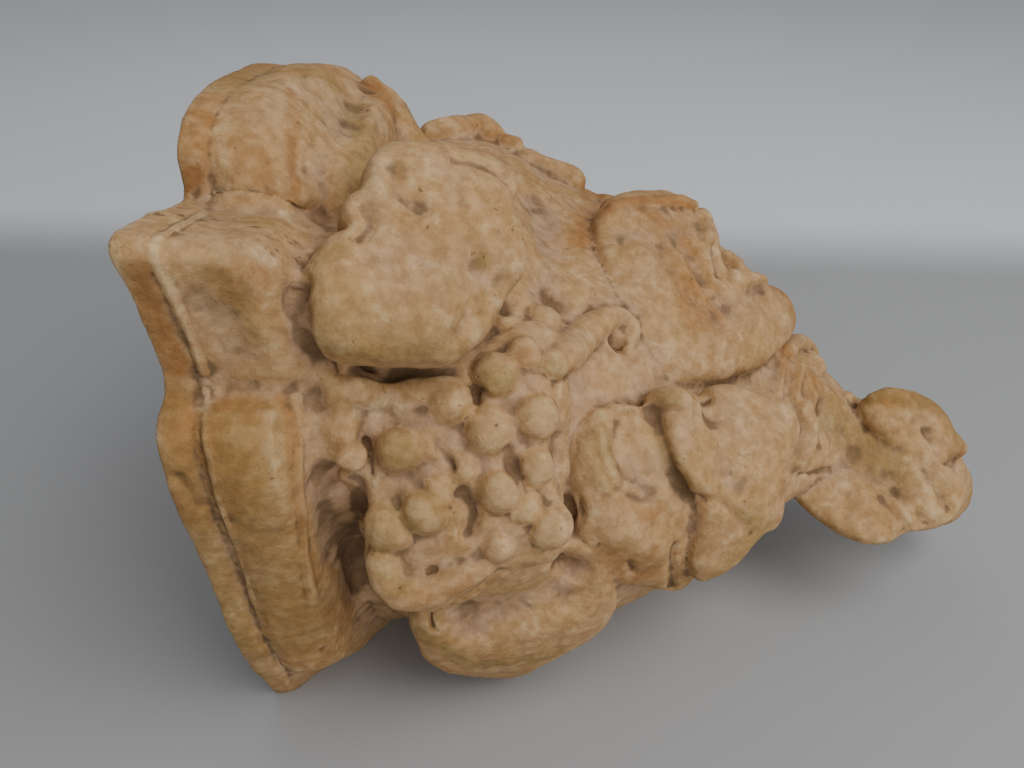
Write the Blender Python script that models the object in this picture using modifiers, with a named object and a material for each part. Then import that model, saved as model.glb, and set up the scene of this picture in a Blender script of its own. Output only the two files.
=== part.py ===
"""Fired-clay wall corbel with a moulded cap, vine leaves and grapes, modelled as one casting.

The piece lies on its flat back. +X runs along its length from the flat end of the cap to the tip
of the tail leaf, +Z leaves the wall and -Y is the side with the clearest carving. The origin is
the middle of the wall seat. Every form of the carving keeps its place and its proportions as
shares of the driving sizes below, and the forms are fused into one solid at the end.
"""
import math

import bmesh
import bpy
import numpy as np
from mathutils import Matrix

# Driving sizes, in metres
LENGTH = 0.414
SEAT_FROM_CAP_END = 0.200
CAP_HALF_WIDTH = 0.196
CAP_DEPTH = 0.318
CAP_THICKNESS = 0.064
CAP_FILLET_WIDTH = 0.013
CAP_CREASE_DEPTH = 0.003
CAP_BOWL_SWELL = 0.006
CAP_NECK_STEP = 0.007
CAP_FRONT_CALM = 0.55
CAP_OVERHANG = 0.030
BODY_HALF_WIDTH = CAP_HALF_WIDTH - CAP_OVERHANG
BODY_DEPTH = 0.272
LEAF_THICKNESS = 0.026
LEAF_BEND_RADIUS = 0.150
GRAPE_RADIUS = 0.0095
RIDGE_RADIUS = 0.0075

# How finely the fused clay is worked, in metres, and the share of its facets that is kept
CLAY_GRAIN = 0.0034
CLAY_SMOOTHING_ROUNDS = 2
CLAY_FACET_BUDGET = 9600
CUT_MARGIN = 0.030

# Plan of the cap and of the neck below it, near wall to far wall. Each row holds the plan's
# distance from the middle and from the wall, then the neck's, as shares of the cap's half width
# and depth. The two side lobes and the front lobe stand between projecting corner blocks.
CAP_PLAN = (
    (-0.68, -0.06, -0.48, -0.06), (-0.73, 0.00, -0.52, 0.00), (-0.89, 0.22, -0.68, 0.22),
    (-0.95, 0.47, -0.86, 0.47), (-0.995, 0.58, -0.90, 0.57), (-1.00, 0.655, -0.90, 0.64),
    (-0.975, 0.69, -0.885, 0.665), (-0.92, 0.72, -0.86, 0.68), (-0.955, 0.835, -0.875, 0.80),
    (-0.99, 0.92, -0.85, 0.84), (-0.85, 0.915, -0.74, 0.855), (-0.655, 0.893, -0.60, 0.85),
    (-0.65, 0.95, -0.57, 0.895), (-0.57, 0.988, -0.50, 0.93), (-0.44, 1.00, -0.39, 0.95),
    (-0.235, 0.994, -0.21, 0.955), (-0.07, 0.98, -0.06, 0.947), (0.13, 0.95, 0.11, 0.915),
    (0.31, 0.91, 0.27, 0.87), (0.43, 0.855, 0.39, 0.82), (0.495, 0.80, 0.46, 0.77),
    (0.66, 0.795, 0.59, 0.755), (0.83, 0.78, 0.71, 0.715), (0.87, 0.70, 0.755, 0.655),
    (0.855, 0.615, 0.765, 0.585), (0.93, 0.565, 0.805, 0.54), (0.945, 0.52, 0.815, 0.495),
    (0.91, 0.315, 0.765, 0.31), (0.86, 0.155, 0.64, 0.155), (0.73, 0.00, 0.52, 0.00),
    (0.68, -0.06, 0.48, -0.06),
)

# Sections of the body: share of the length, half width, front, middle and underside as shares of
# the body's half width and depth, how square the near front corner is, and how full the underside.
# The underside lies behind the wall seat up to the waist, and leaves the wall before the tail.
BODY_SECTIONS = (
    (0.121, 0.88, 0.95, 0.46, -0.10, 3.6, 1.5), (0.152, 0.93, 0.97, 0.43, -0.10, 3.8, 1.5),
    (0.194, 0.95, 0.97, 0.405, -0.10, 3.8, 1.6), (0.278, 0.94, 0.945, 0.39, -0.10, 3.1, 1.9),
    (0.362, 0.895, 0.893, 0.37, -0.09, 2.7, 1.9), (0.483, 0.775, 0.824, 0.34, -0.07, 2.4, 1.5),
    (0.604, 0.59, 0.706, 0.33, 0.02, 2.3, 1.4), (0.688, 0.445, 0.596, 0.33, 0.14, 2.2, 1.6),
    (0.749, 0.315, 0.507, 0.31, 0.17, 2.2, 1.8), (0.809, 0.235, 0.42, 0.25, 0.12, 2.2, 2.0),
    (0.893, 0.200, 0.39, 0.20, 0.03, 2.2, 2.0), (0.961, 0.16, 0.31, 0.17, 0.03, 2.2, 2.0),
    (0.996, 0.07, 0.22, 0.14, 0.06, 2.2, 2.0),
)
FAR_SIDE_ROUNDNESS = 2.2

# Leaves: share of the length, angle round the body from the near side, stand-off as a share of
# the leaf's thickness, lean of the face towards the tail and angle of the face round the body,
# half span in metres, thickness and bend radius as shares of the named ones, then the lobes as
# (angle, share of the half span).
BIG_LEAF_HALF_SPAN = 0.063
UPPER_LEAF_HALF_SPAN = 0.077
LOW_LEAF_HALF_SPAN = 0.078
SIDE_LEAF_HALF_SPAN = 0.062
NEAR_LEAF_HALF_SPAN = 0.109
GRAPE_BED_HALF_SPAN = 0.076
TAIL_LOWER_HALF_SPAN = 0.061
TAIL_UPPER_HALF_SPAN = 0.053
BIG_LEAF_LOBES = (
    (-160, 0.59), (-140, 0.75), (-120, 0.77), (-100, 0.72), (-80, 0.70), (-60, 0.75), (-40, 0.74),
    (-20, 0.72), (0, 0.82), (27, 0.84), (40, 0.98), (50, 0.99), (80, 0.82), (100, 0.74), (123, 0.50),
    (140, 0.45), (168, 0.36),
)
UPPER_LEAF_LOBES = (
    (-180, 0.68), (-140, 0.63), (-120, 0.66), (-100, 0.65), (-80, 0.59), (-60, 0.57), (-25, 0.66),
    (5, 0.93), (15, 0.96), (25, 0.84), (35, 0.46), (45, 0.37), (60, 0.39), (70, 0.58), (80, 0.92),
    (90, 0.95), (132, 0.91), (160, 0.75),
)
LOW_LEAF_LOBES = (
    (-180, 0.31), (-140, 0.35), (-120, 0.44), (-100, 0.59), (-80, 0.75), (-63, 0.93), (-52, 0.99),
    (-22, 0.64), (0, 0.50), (38, 0.43), (60, 0.51), (80, 0.59), (120, 0.57), (140, 0.45),
)
SIDE_LEAF_LOBES = (
    (-180, 0.52), (-142, 0.43), (-125, 0.57), (-105, 0.91), (-95, 0.99), (-80, 0.86), (-65, 0.70),
    (-55, 0.68), (-45, 0.74), (-25, 0.55), (2, 0.52), (20, 0.65), (40, 0.72), (60, 0.65), (112, 0.63),
    (125, 0.76), (135, 0.84), (145, 0.83), (160, 0.69),
)
NEAR_LEAF_LOBES = (
    (-180, 0.39), (-147, 0.46), (-123, 0.60), (-105, 0.80), (-95, 0.96), (-85, 0.99), (-60, 0.75),
    (-40, 0.62), (-20, 0.57), (0, 0.50), (30, 0.32), (60, 0.27), (100, 0.24), (140, 0.27), (160, 0.32),
)
GRAPE_BED_LOBES = (
    (-180, 0.61), (-140, 0.69), (-112, 0.84), (-72, 0.65), (-58, 0.62), (-42, 0.70), (0, 0.63),
    (20, 0.65), (52, 0.97), (62, 0.99), (78, 0.81), (102, 0.65), (120, 0.68), (138, 0.76), (160, 0.67),
)
TAIL_LOWER_LOBES = (
    (-180, 0.99), (-160, 0.77), (-140, 0.67), (-120, 0.59), (-100, 0.51), (-80, 0.41), (-60, 0.40),
    (-40, 0.49), (-20, 0.60), (0, 0.72), (30, 0.82), (60, 0.68), (80, 0.64), (120, 0.69), (140, 0.80),
    (160, 0.90),
)
TAIL_UPPER_LOBES = (
    (-180, 0.51), (-170, 0.36), (-140, 0.26), (-120, 0.22), (-90, 0.18), (-60, 0.23), (-40, 0.27),
    (-18, 0.32), (10, 0.69), (27, 0.70), (60, 0.84), (80, 0.80), (120, 0.81), (147, 0.99), (157, 0.99),
    (168, 0.86),
)
LEAVES = (
    (0.208, 48, 1.12, 21, 46, BIG_LEAF_HALF_SPAN, 1.15, 1.47, BIG_LEAF_LOBES),
    (0.526, 65, 0.10, 27, 60, UPPER_LEAF_HALF_SPAN, 1.0, 1.33, UPPER_LEAF_LOBES),
    (0.437, 19, 0.10, 20, 12, LOW_LEAF_HALF_SPAN, 1.0, 1.0, LOW_LEAF_LOBES),
    (0.567, 27, 0.85, 24, 25, SIDE_LEAF_HALF_SPAN, 0.92, 1.0, SIDE_LEAF_LOBES),
    (0.302, -4, 0.00, 10, -6, NEAR_LEAF_HALF_SPAN, 1.0, 1.0, NEAR_LEAF_LOBES),
    (0.262, 22, 0.12, 6, 22, GRAPE_BED_HALF_SPAN, 1.25, 1.33, GRAPE_BED_LOBES),
    (0.840, 20, 0.35, 4, 58, TAIL_LOWER_HALF_SPAN, 0.62, 2.0, TAIL_LOWER_LOBES),
    (0.860, 50, 0.42, 14, 44, TAIL_UPPER_HALF_SPAN, 0.85, 0.67, TAIL_UPPER_LOBES),
)
LEAVES_ON_FAR_SIDE = 6
FAR_SIDE_SHIFT = 12
LEAF_EDGE_POWER = 0.45
LEAF_CROWN_POWER = 0.55

# Grapes: share of the length, angle round the body, lift and size as shares of the grape radius
GRAPES = (
    (0.344, 48, -0.4, 1.00), (0.325, 40, 2.4, 0.74), (0.353, 39, 2.6, 0.74), (0.301, 37, 1.9, 0.99),
    (0.258, 33, 1.7, 0.98), (0.294, 30, 2.2, 1.03), (0.338, 32, 2.6, 0.95), (0.205, 26, 1.7, 1.02),
    (0.164, 23, 2.7, 0.73), (0.180, 30, 1.4, 1.03), (0.343, 27, 3.0, 1.04), (0.302, 23, 2.8, 1.08),
    (0.354, 19, 2.8, 1.02), (0.301, 16, 3.1, 0.70), (0.258, 22, 2.8, 0.86), (0.205, 19, 2.5, 1.29),
    (0.228, 19, 2.6, 1.25), (0.328, 20, 3.4, 0.78), (0.213, 15, 3.3, 1.13), (0.263, 16, 3.4, 0.87),
)
FAR_SIDE_GRAPE_DROP = 1.3
GRAPE_PROUD = 0.4
GRAPE_FACET_WEIGHT = 3.0

# Rolled edges, ribs and the tendril: radius share, then points as (share of length, angle, lift)
ROLLS = (
    (0.80, ((0.355, 40, 3.1), (0.371, 46, 0.4), (0.404, 52, 0.3), (0.445, 54, 0.5), (0.438, 48, 0.3))),
    (1.10, ((0.194, 14, 3.8), (0.200, 11, 3.9), (0.219, 9, 4.0), (0.247, 10, 4.1), (0.293, 14, 4.3))),
    (0.84, ((0.408, 102, -0.1), (0.403, 85, -0.1), (0.391, 70, -0.1))),
    (0.71, ((0.423, 79, 1.9), (0.463, 82, 2.5), (0.509, 85, 3.0), (0.531, 85, 3.2))),
    (0.72, ((0.542, 81, 3.1), (0.542, 77, 2.9))),
    (0.59, ((0.684, 80, -0.3), (0.712, 93, -0.4), (0.714, 82, -0.3), (0.694, 67, -0.3))),
    (0.50, ((0.654, 63, -0.2), (0.645, 53, -0.2), (0.637, 47, -0.2))),
    (0.55, ((0.679, 63, -0.3), (0.670, 54, -0.3), (0.665, 47, -0.3))),
    (0.59, ((0.714, 74, -0.3), (0.702, 59, -0.3), (0.694, 50, -0.2))),
    (0.98, ((0.673, 44, -0.5), (0.680, 38, -0.6), (0.678, 30, -0.6), (0.676, 23, -0.4))),
    (0.65, ((0.800, 74, 1.6), (0.828, 80, 2.4), (0.853, 80, 2.4))),
    (1.20, ((0.225, 110, 0.0), (0.250, 112, 0.1), (0.285, 112, 0.0))),
    (1.00, ((0.330, 110, 0.0), (0.350, 111, 0.1))),
    (1.07, ((0.378, 107, -0.1), (0.420, 106, -0.1))),
    (1.20, ((0.450, 104, -0.1), (0.500, 101, -0.1))),
    (0.80, ((0.743, 79, 0.3), (0.748, 78, 0.3))),
    (0.80, ((0.783, 85, 0.1), (0.790, 85, 0.1))),
    (0.93, ((0.940, 71, 0.4), (0.948, 71, 0.4))),
)
LEAF_TIP_BY_CAP = ((0.122, 90, 0.60), (0.132, 90, 1.07), (0.156, 89, 1.6), (0.205, 88, 1.73))
LEAF_TIP_RISE = 0.044

CLAY_COLOUR = (0.36, 0.225, 0.115, 1.0)
CLAY_ROUGHNESS = 0.9
COLLECTION_NAME = "corbel"
CUTTER_COLLECTION_NAME = "cutters"


def clear_scene():
    """Remove every object, so that the model starts from nothing."""
    for item in list(bpy.data.objects):
        bpy.data.objects.remove(item, do_unlink=True)


def make_collection(name):
    """Return a collection of that name, linked to the scene."""
    collection = bpy.data.collections.get(name) or bpy.data.collections.new(name)
    if name not in bpy.context.scene.collection.children:
        bpy.context.scene.collection.children.link(collection)
    return collection


def smooth_curve(x, knots, values):
    """Cubic through the knots with central-difference slopes, held level past both ends."""
    knots = np.asarray(knots, float)
    values = np.asarray(values, float)
    x = np.clip(np.asarray(x, float), knots[0], knots[-1])
    slopes = np.gradient(values, knots)
    cell = np.clip(np.searchsorted(knots, x) - 1, 0, len(knots) - 2)
    width = knots[cell + 1] - knots[cell]
    t = (x - knots[cell]) / width
    return (
        (2 * t**3 - 3 * t**2 + 1) * values[cell] + (t**3 - 2 * t**2 + t) * width * slopes[cell]
        + (3 * t**2 - 2 * t**3) * values[cell + 1] + (t**3 - t**2) * width * slopes[cell + 1]
    )


def lobe_reach(angle, lobes):
    """Reach of a lobed outline at an angle in degrees, as a share of the half span."""
    turns = np.array([a for a, _ in lobes], float)
    reach = np.array([r for _, r in lobes], float)
    turns = np.concatenate([turns - 360, turns, turns + 360])
    return smooth_curve((np.asarray(angle) + 180) % 360 - 180, turns, np.tile(reach, 3))


def body_point(share, angle, lift=0.0):
    """Point on the body at a share of the length and an angle round it, lifted outwards."""
    rows = np.array(BODY_SECTIONS)
    half_width = smooth_curve(share, rows[:, 0], rows[:, 1]) * BODY_HALF_WIDTH
    front = smooth_curve(share, rows[:, 0], rows[:, 2]) * BODY_DEPTH
    middle = smooth_curve(share, rows[:, 0], rows[:, 3]) * BODY_DEPTH
    bottom = smooth_curve(share, rows[:, 0], rows[:, 4]) * BODY_DEPTH
    squareness = smooth_curve(share, rows[:, 0], rows[:, 5])
    across = np.cos(np.radians(angle))
    up = np.sin(np.radians(angle))
    underside = smooth_curve(share, rows[:, 0], rows[:, 6])
    power = np.where((across > 0) & (up > 0), squareness, FAR_SIDE_ROUNDNESS)
    power = np.where(up > 0, power, underside)
    rise = np.where(up > 0, front - middle, middle - bottom)
    radius = (np.abs(across / half_width) ** power + np.abs(up / rise) ** power) ** (-1 / power) + lift
    along = np.asarray(share) * LENGTH - SEAT_FROM_CAP_END
    return np.stack(np.broadcast_arrays(along, -radius * across, middle + radius * up), -1)


def loft(name, rings):
    """Closed mesh through rings of equal point counts, with a fan over each end."""
    rows, count, _ = rings.shape
    points = np.concatenate([rings.reshape(-1, 3), rings[0].mean(0)[None], rings[-1].mean(0)[None]])
    index = np.arange(rows * count).reshape(rows, count)
    ahead = np.roll(index, -1, axis=1)
    sides = np.stack([index[:-1], ahead[:-1], ahead[1:], index[1:]], -1).reshape(-1, 4).tolist()
    start = [(int(b), int(a), rows * count) for a, b in zip(index[0], ahead[0])]
    end = [(int(a), int(b), rows * count + 1) for a, b in zip(index[-1], ahead[-1])]
    mesh = bpy.data.meshes.new(name)
    mesh.from_pydata(points.tolist(), [], sides + start + end)
    return mesh


def cap_mesh():
    """Moulded cap: the plan carried along fillet, crease, bowl, arris and cavetto to the neck."""
    plan = np.array(CAP_PLAN) * (CAP_HALF_WIDTH, CAP_DEPTH, CAP_HALF_WIDTH, CAP_DEPTH)
    outline, neck = plan[:, :2], plan[:, 2:]
    along = np.roll(outline, -1, axis=0) - np.roll(outline, 1, axis=0)
    outward = np.stack([-along[:, 1], along[:, 0]], -1)
    outward /= np.linalg.norm(outward, axis=1)[:, None]
    bowl = CAP_THICKNESS - CAP_FILLET_WIDTH
    front = np.clip((0.72 - np.abs(outline[:, :1]) / CAP_HALF_WIDTH) / 0.08, 0, 1)
    profile = (
        (-CUT_MARGIN, 0.0, 0.0), (0.0, 0.0, 0.0), (CAP_FILLET_WIDTH * 0.8, 0.08, 0.0),
        (CAP_FILLET_WIDTH, 0.20, -CAP_CREASE_DEPTH), (CAP_FILLET_WIDTH + 0.08 * bowl, 0.22, 0.0),
        (CAP_FILLET_WIDTH + 0.20 * bowl, 0.26, CAP_BOWL_SWELL * 0.8),
        (CAP_FILLET_WIDTH + 0.50 * bowl, 0.42, CAP_BOWL_SWELL),
        (CAP_FILLET_WIDTH + 0.61 * bowl, 0.52, CAP_BOWL_SWELL * 0.8),
        (CAP_FILLET_WIDTH + 0.70 * bowl, 0.82, 0.0),
        (CAP_FILLET_WIDTH + 0.82 * bowl, 1.00, -CAP_CREASE_DEPTH * 0.7), (CAP_THICKNESS, 1.04, 0.0),
        (CAP_THICKNESS + CAP_NECK_STEP, 1.5, 0.0),
    )
    rings = []
    for reach, blend, swell in profile:
        ring = outline * (1 - blend) + neck * blend + outward * swell * (1 - front * CAP_FRONT_CALM)
        x = np.full(len(ring), reach - SEAT_FROM_CAP_END)
        rings.append(np.column_stack([x, ring]))
    return loft("cap", np.array(rings)[:, ::-1])


def body_mesh():
    """Tapering body behind the carving, from inside the cap to the tail."""
    first, last = BODY_SECTIONS[0][0], BODY_SECTIONS[-1][0]
    shares = np.linspace(first, last, 60)
    angles = np.linspace(-180, 180, 72, endpoint=False)
    rings = body_point(shares[:, None], angles[None, :])
    inner = rings[0].copy()
    inner[:, 0] = CAP_THICKNESS * 0.4 - SEAT_FROM_CAP_END
    return loft("body", np.concatenate([inner[None], rings]))


def face_frame(lean, facing):
    """Columns: along the leaf, across it and out of its face, from two angles in degrees."""
    lean, facing = math.radians(lean), math.radians(facing)
    out = np.array([math.sin(lean), -math.cos(lean) * math.cos(facing), math.cos(lean) * math.sin(facing)])
    along = np.array([1.0, 0.0, 0.0]) - out * out[0]
    along /= np.linalg.norm(along)
    return np.stack([along, np.cross(out, along), out], 1)


def leaf_mesh(row, far_side):
    """Thick lobed leaf: a sphere flattened, spread to the lobes and bent over the body."""
    share, angle, stand_off, lean, facing, half_span, thick, bend, lobes = row
    thickness = LEAF_THICKNESS * thick
    lift = 0.0 if far_side else stand_off * thickness
    centre = body_point(share, 180 + FAR_SIDE_SHIFT - angle if far_side else angle, lift)
    shape = bmesh.new()
    bmesh.ops.create_uvsphere(shape, u_segments=64, v_segments=22, radius=1.0)
    ball = np.array([v.co[:] for v in shape.verts])
    flat = np.hypot(ball[:, 0], ball[:, 1])
    turn = np.degrees(np.arctan2(ball[:, 1], ball[:, 0]))
    reach = half_span * lobe_reach(turn, lobes) * flat**LEAF_EDGE_POWER
    u = reach * np.cos(np.radians(turn))
    v = reach * np.sin(np.radians(turn))
    rise = thickness / 2 * np.sign(ball[:, 2]) * np.abs(ball[:, 2]) ** LEAF_CROWN_POWER
    rise -= (u**2 * 0.5 + v**2) / (2 * LEAF_BEND_RADIUS * bend)
    frame = face_frame(lean, facing)
    place = u[:, None] * frame[:, 0] + v[:, None] * frame[:, 1] + rise[:, None] * frame[:, 2]
    if far_side:
        place[:, 1] *= -1
    place += centre
    for vertex, point in zip(shape.verts, place):
        vertex.co = point
    if far_side:
        bmesh.ops.reverse_faces(shape, faces=shape.faces)
    mesh = bpy.data.meshes.new("leaf")
    shape.to_mesh(mesh)
    shape.free()
    return mesh


def grape_mesh(share, angle, lift, size):
    """One grape, its middle lifted off the body by a share of the grape radius."""
    shape = bmesh.new()
    place = Matrix.Translation(body_point(share, angle, (lift + GRAPE_PROUD) * GRAPE_RADIUS))
    bmesh.ops.create_uvsphere(shape, u_segments=20, v_segments=12, radius=GRAPE_RADIUS * size, matrix=place)
    mesh = bpy.data.meshes.new("grape")
    shape.to_mesh(mesh)
    shape.free()
    return mesh


def stem_mesh(points, radii):
    """Round stem through the points, tapering from radius to radius, with filled ends."""
    curve = bpy.data.curves.new("stem", "CURVE")
    curve.dimensions = "3D"
    curve.bevel_depth = 1.0
    curve.bevel_resolution = 3
    curve.use_fill_caps = True
    curve.resolution_u = 6
    spline = curve.splines.new("BEZIER")
    spline.bezier_points.add(len(points) - 1)
    for knot, point, radius in zip(spline.bezier_points, points, radii):
        knot.co = point
        knot.handle_left_type = "AUTO"
        knot.handle_right_type = "AUTO"
        knot.radius = radius
    holder = bpy.data.objects.new("stem", curve)
    bpy.context.scene.collection.objects.link(holder)
    bpy.context.view_layer.update()
    drawn = holder.evaluated_get(bpy.context.evaluated_depsgraph_get())
    mesh = bpy.data.meshes.new_from_object(drawn)
    bpy.data.objects.remove(holder, do_unlink=True)
    shape = bmesh.new()
    shape.from_mesh(mesh)
    bmesh.ops.remove_doubles(shape, verts=shape.verts, dist=1e-6)
    bmesh.ops.recalc_face_normals(shape, faces=shape.faces)
    shape.to_mesh(mesh)
    shape.free()
    return mesh


def carving_meshes():
    """Every form of the carving as its own closed mesh."""
    meshes = [cap_mesh(), body_mesh()]
    for row in LEAVES:
        meshes.append(leaf_mesh(row, False))
    for row in LEAVES[:LEAVES_ON_FAR_SIDE]:
        meshes.append(leaf_mesh(row, True))
    for share, angle, lift, size in GRAPES:
        meshes.append(grape_mesh(share, angle, lift, size))
        meshes.append(grape_mesh(share, 180 + FAR_SIDE_SHIFT - angle, lift - FAR_SIDE_GRAPE_DROP, size))
    for size, knots in ROLLS:
        points = [body_point(share, angle, lift * RIDGE_RADIUS) for share, angle, lift in knots]
        meshes.append(stem_mesh(points, [RIDGE_RADIUS * size] * len(points)))
    rise = np.linspace(LEAF_TIP_RISE, 0.0, len(LEAF_TIP_BY_CAP))
    points = [body_point(row[0], row[1], up) for row, up in zip(LEAF_TIP_BY_CAP, rise)]
    meshes.append(stem_mesh(points, [RIDGE_RADIUS * size for _, _, size in LEAF_TIP_BY_CAP]))
    return meshes


def near_grapes(mesh):
    """Numbers of the points that lie within two radii of a grape's middle."""
    points = np.array([tuple(vertex.co) for vertex in mesh.vertices])
    near = np.zeros(len(points), bool)
    for share, angle, lift, size in GRAPES:
        middle = np.array(body_point(share, angle, (lift + GRAPE_PROUD) * GRAPE_RADIUS))
        near |= np.linalg.norm(points - middle, axis=1) < 2 * GRAPE_RADIUS * size
    return [int(number) for number in np.flatnonzero(near)]


def largest_shell(shape):
    """Delete every shell but the largest, such as a bubble closed in between two forms."""
    unseen = set(shape.verts)
    shells = []
    while unseen:
        front = [unseen.pop()]
        shell = list(front)
        while front:
            vertex = front.pop()
            for edge in vertex.link_edges:
                other = edge.other_vert(vertex)
                if other in unseen:
                    unseen.remove(other)
                    front.append(other)
                    shell.append(other)
        shells.append(shell)
    shells.sort(key=len)
    for shell in shells[:-1]:
        bmesh.ops.delete(shape, geom=shell, context="VERTS")


def fuse(meshes, collection):
    """Join the forms, fuse them into one skin of clay and thin it to the facet budget."""
    joined = bmesh.new()
    for mesh in meshes:
        joined.from_mesh(mesh)
        bpy.data.meshes.remove(mesh)
    raw = bpy.data.meshes.new("forms")
    joined.to_mesh(raw)
    joined.free()
    forms = bpy.data.objects.new("forms", raw)
    bpy.context.scene.collection.objects.link(forms)
    grain = forms.modifiers.new("clay", "REMESH")
    grain.mode = "VOXEL"
    grain.voxel_size = CLAY_GRAIN
    soften = forms.modifiers.new("soften", "SMOOTH")
    soften.factor = 0.5
    soften.iterations = CLAY_SMOOTHING_ROUNDS
    bpy.context.view_layer.update()
    fused = bpy.data.meshes.new_from_object(forms.evaluated_get(bpy.context.evaluated_depsgraph_get()))
    bpy.data.objects.remove(forms, do_unlink=True)
    shape = bmesh.new()
    shape.from_mesh(fused)
    largest_shell(shape)
    bmesh.ops.triangulate(shape, faces=shape.faces)
    shape.to_mesh(fused)
    shape.free()
    fused.name = "corbel"
    corbel = bpy.data.objects.new("corbel", fused)
    collection.objects.link(corbel)
    grapes = corbel.vertex_groups.new(name="grapes")
    grapes.add(near_grapes(fused), 1.0, "REPLACE")
    thin = corbel.modifiers.new("thin", "DECIMATE")
    thin.vertex_group = "grapes"
    thin.invert_vertex_group = True
    thin.vertex_group_factor = GRAPE_FACET_WEIGHT
    thin.ratio = min(1.0, CLAY_FACET_BUDGET / len(fused.polygons))
    return corbel


def make_cutter(name, low, high, collection):
    """Plain box between two corners, kept as a hidden cutter."""
    shape = bmesh.new()
    size = [b - a for a, b in zip(low, high)]
    middle = [(a + b) / 2 for a, b in zip(low, high)]
    bmesh.ops.create_cube(shape, size=1.0, matrix=Matrix.Translation(middle) @ Matrix.Diagonal((*size, 1.0)))
    mesh = bpy.data.meshes.new(name)
    shape.to_mesh(mesh)
    shape.free()
    cutter = bpy.data.objects.new(name, mesh)
    collection.objects.link(cutter)
    cutter.hide_render = True
    cutter.display_type = "WIRE"
    return cutter


def cut_flat(corbel, cutters):
    """Cut the wall seat at Z = 0 and the bearing end of the cap square to it."""
    reach = LENGTH + CAP_HALF_WIDTH + CUT_MARGIN
    depth = CAP_DEPTH + CUT_MARGIN + reach
    end = -SEAT_FROM_CAP_END
    wall = make_cutter("wall_cut", (-reach, -reach, -depth), (reach, reach, 0.0), cutters)
    bearing = make_cutter("bearing_cut", (end - reach, -reach, -depth), (end, reach, depth), cutters)
    for cutter in (wall, bearing):
        cut = corbel.modifiers.new(cutter.name, "BOOLEAN")
        cut.operation = "DIFFERENCE"
        cut.solver = "EXACT"
        cut.object = cutter


def clay_material():
    """Unglazed fired clay."""
    material = bpy.data.materials.new("fired_clay")
    material.use_nodes = True
    shader = material.node_tree.nodes["Principled BSDF"]
    shader.inputs["Base Color"].default_value = CLAY_COLOUR
    shader.inputs["Roughness"].default_value = CLAY_ROUGHNESS
    shader.inputs["Metallic"].default_value = 0.0
    material.diffuse_color = CLAY_COLOUR
    return material


def main():
    """Build the corbel."""
    clear_scene()
    parts = make_collection(COLLECTION_NAME)
    cutters = make_collection(CUTTER_COLLECTION_NAME)
    corbel = fuse(carving_meshes(), parts)
    cut_flat(corbel, cutters)
    corbel.data.materials.append(clay_material())
    corbel.data.shade_smooth()


main()
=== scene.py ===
"""Fired-clay wall corbel: the worked surface of the casting, its clay, the floor, light and camera.

The corbel lies on its flat back. +X runs along its length from the flat end of the cap to the tip
of the tail leaf, +Z leaves the wall and -Y is the side with the clearest carving. Forms that sit on
the carving are given by their place in the 1024 x 768 view and are set down on the clay there.
"""

import itertools
import logging
import math
from dataclasses import dataclass
from enum import Enum
from typing import Iterator, NamedTuple, Sequence

import bmesh
import bpy
import numpy as np
from mathutils import Matrix, Vector
from mathutils.bvhtree import BVHTree


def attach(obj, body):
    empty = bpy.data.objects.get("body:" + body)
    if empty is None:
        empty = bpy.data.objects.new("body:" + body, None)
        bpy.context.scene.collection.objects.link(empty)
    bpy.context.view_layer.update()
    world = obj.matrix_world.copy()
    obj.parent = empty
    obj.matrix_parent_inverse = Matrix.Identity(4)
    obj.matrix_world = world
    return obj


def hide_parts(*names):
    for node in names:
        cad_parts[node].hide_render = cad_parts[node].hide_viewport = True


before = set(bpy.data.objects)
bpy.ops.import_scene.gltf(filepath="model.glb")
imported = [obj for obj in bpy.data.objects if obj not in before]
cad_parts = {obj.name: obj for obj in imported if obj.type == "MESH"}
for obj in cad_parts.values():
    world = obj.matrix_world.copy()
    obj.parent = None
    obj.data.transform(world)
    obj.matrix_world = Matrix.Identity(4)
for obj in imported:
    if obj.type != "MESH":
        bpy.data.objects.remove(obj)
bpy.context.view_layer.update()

LOG = logging.getLogger("corbel")
MILLIMETRE = 0.001
TINY = 1e-12

BALL_RINGS = 14
BALL_COLUMNS = 22
BALL_POLE_GAP = 0.12
STEM_SIDES = 16
STEM_END_DEGREES = (12, 35, 60, 80)
STEM_LEAN = (0.013, 0.007, 0.011)
CREST_LEAN = (0.013, 1.0, 0.011)
STEPS_PER_POINT = 6
NOISE_FACTORS = np.array((73856093, 19349663, 83492791))
NOISE_SEED_FACTOR = 2654435761
NOISE_MIX_FACTOR = 1274126177
LOW_32_BITS = 0xFFFFFFFF
LOW_16_BITS = 0xFFFF

Colour = tuple[float, float, float]
# Places in the view: their x and y in turn, and on a roll its radius there too
Path = tuple[float, ...]


class Shell(NamedTuple):
    """Closed form: its points, and its faces as tuples of point numbers."""

    points: np.ndarray
    faces: list


def smooth_curve(x: np.ndarray, knots: Sequence[float], values: Sequence[float]) -> np.ndarray:
    """Cubic through the knots with central-difference slopes, held level past both ends.

    Args:
        x: Places along the curve.
        knots: Rising places of the given values.
        values: Values at the knots.

    Returns:
        The curve's value at each place.
    """
    knots = np.asarray(knots, float)
    values = np.asarray(values, float)
    x = np.clip(np.asarray(x, float), knots[0], knots[-1])
    slopes = np.gradient(values, knots)
    cell = np.clip(np.searchsorted(knots, x) - 1, 0, len(knots) - 2)
    width = knots[cell + 1] - knots[cell]
    t = (x - knots[cell]) / width
    return (
        (2 * t**3 - 3 * t**2 + 1) * values[cell] + (t**3 - 2 * t**2 + t) * width * slopes[cell]
        + (3 * t**2 - 2 * t**3) * values[cell + 1] + (t**3 - t**2) * width * slopes[cell + 1]
    )


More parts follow.
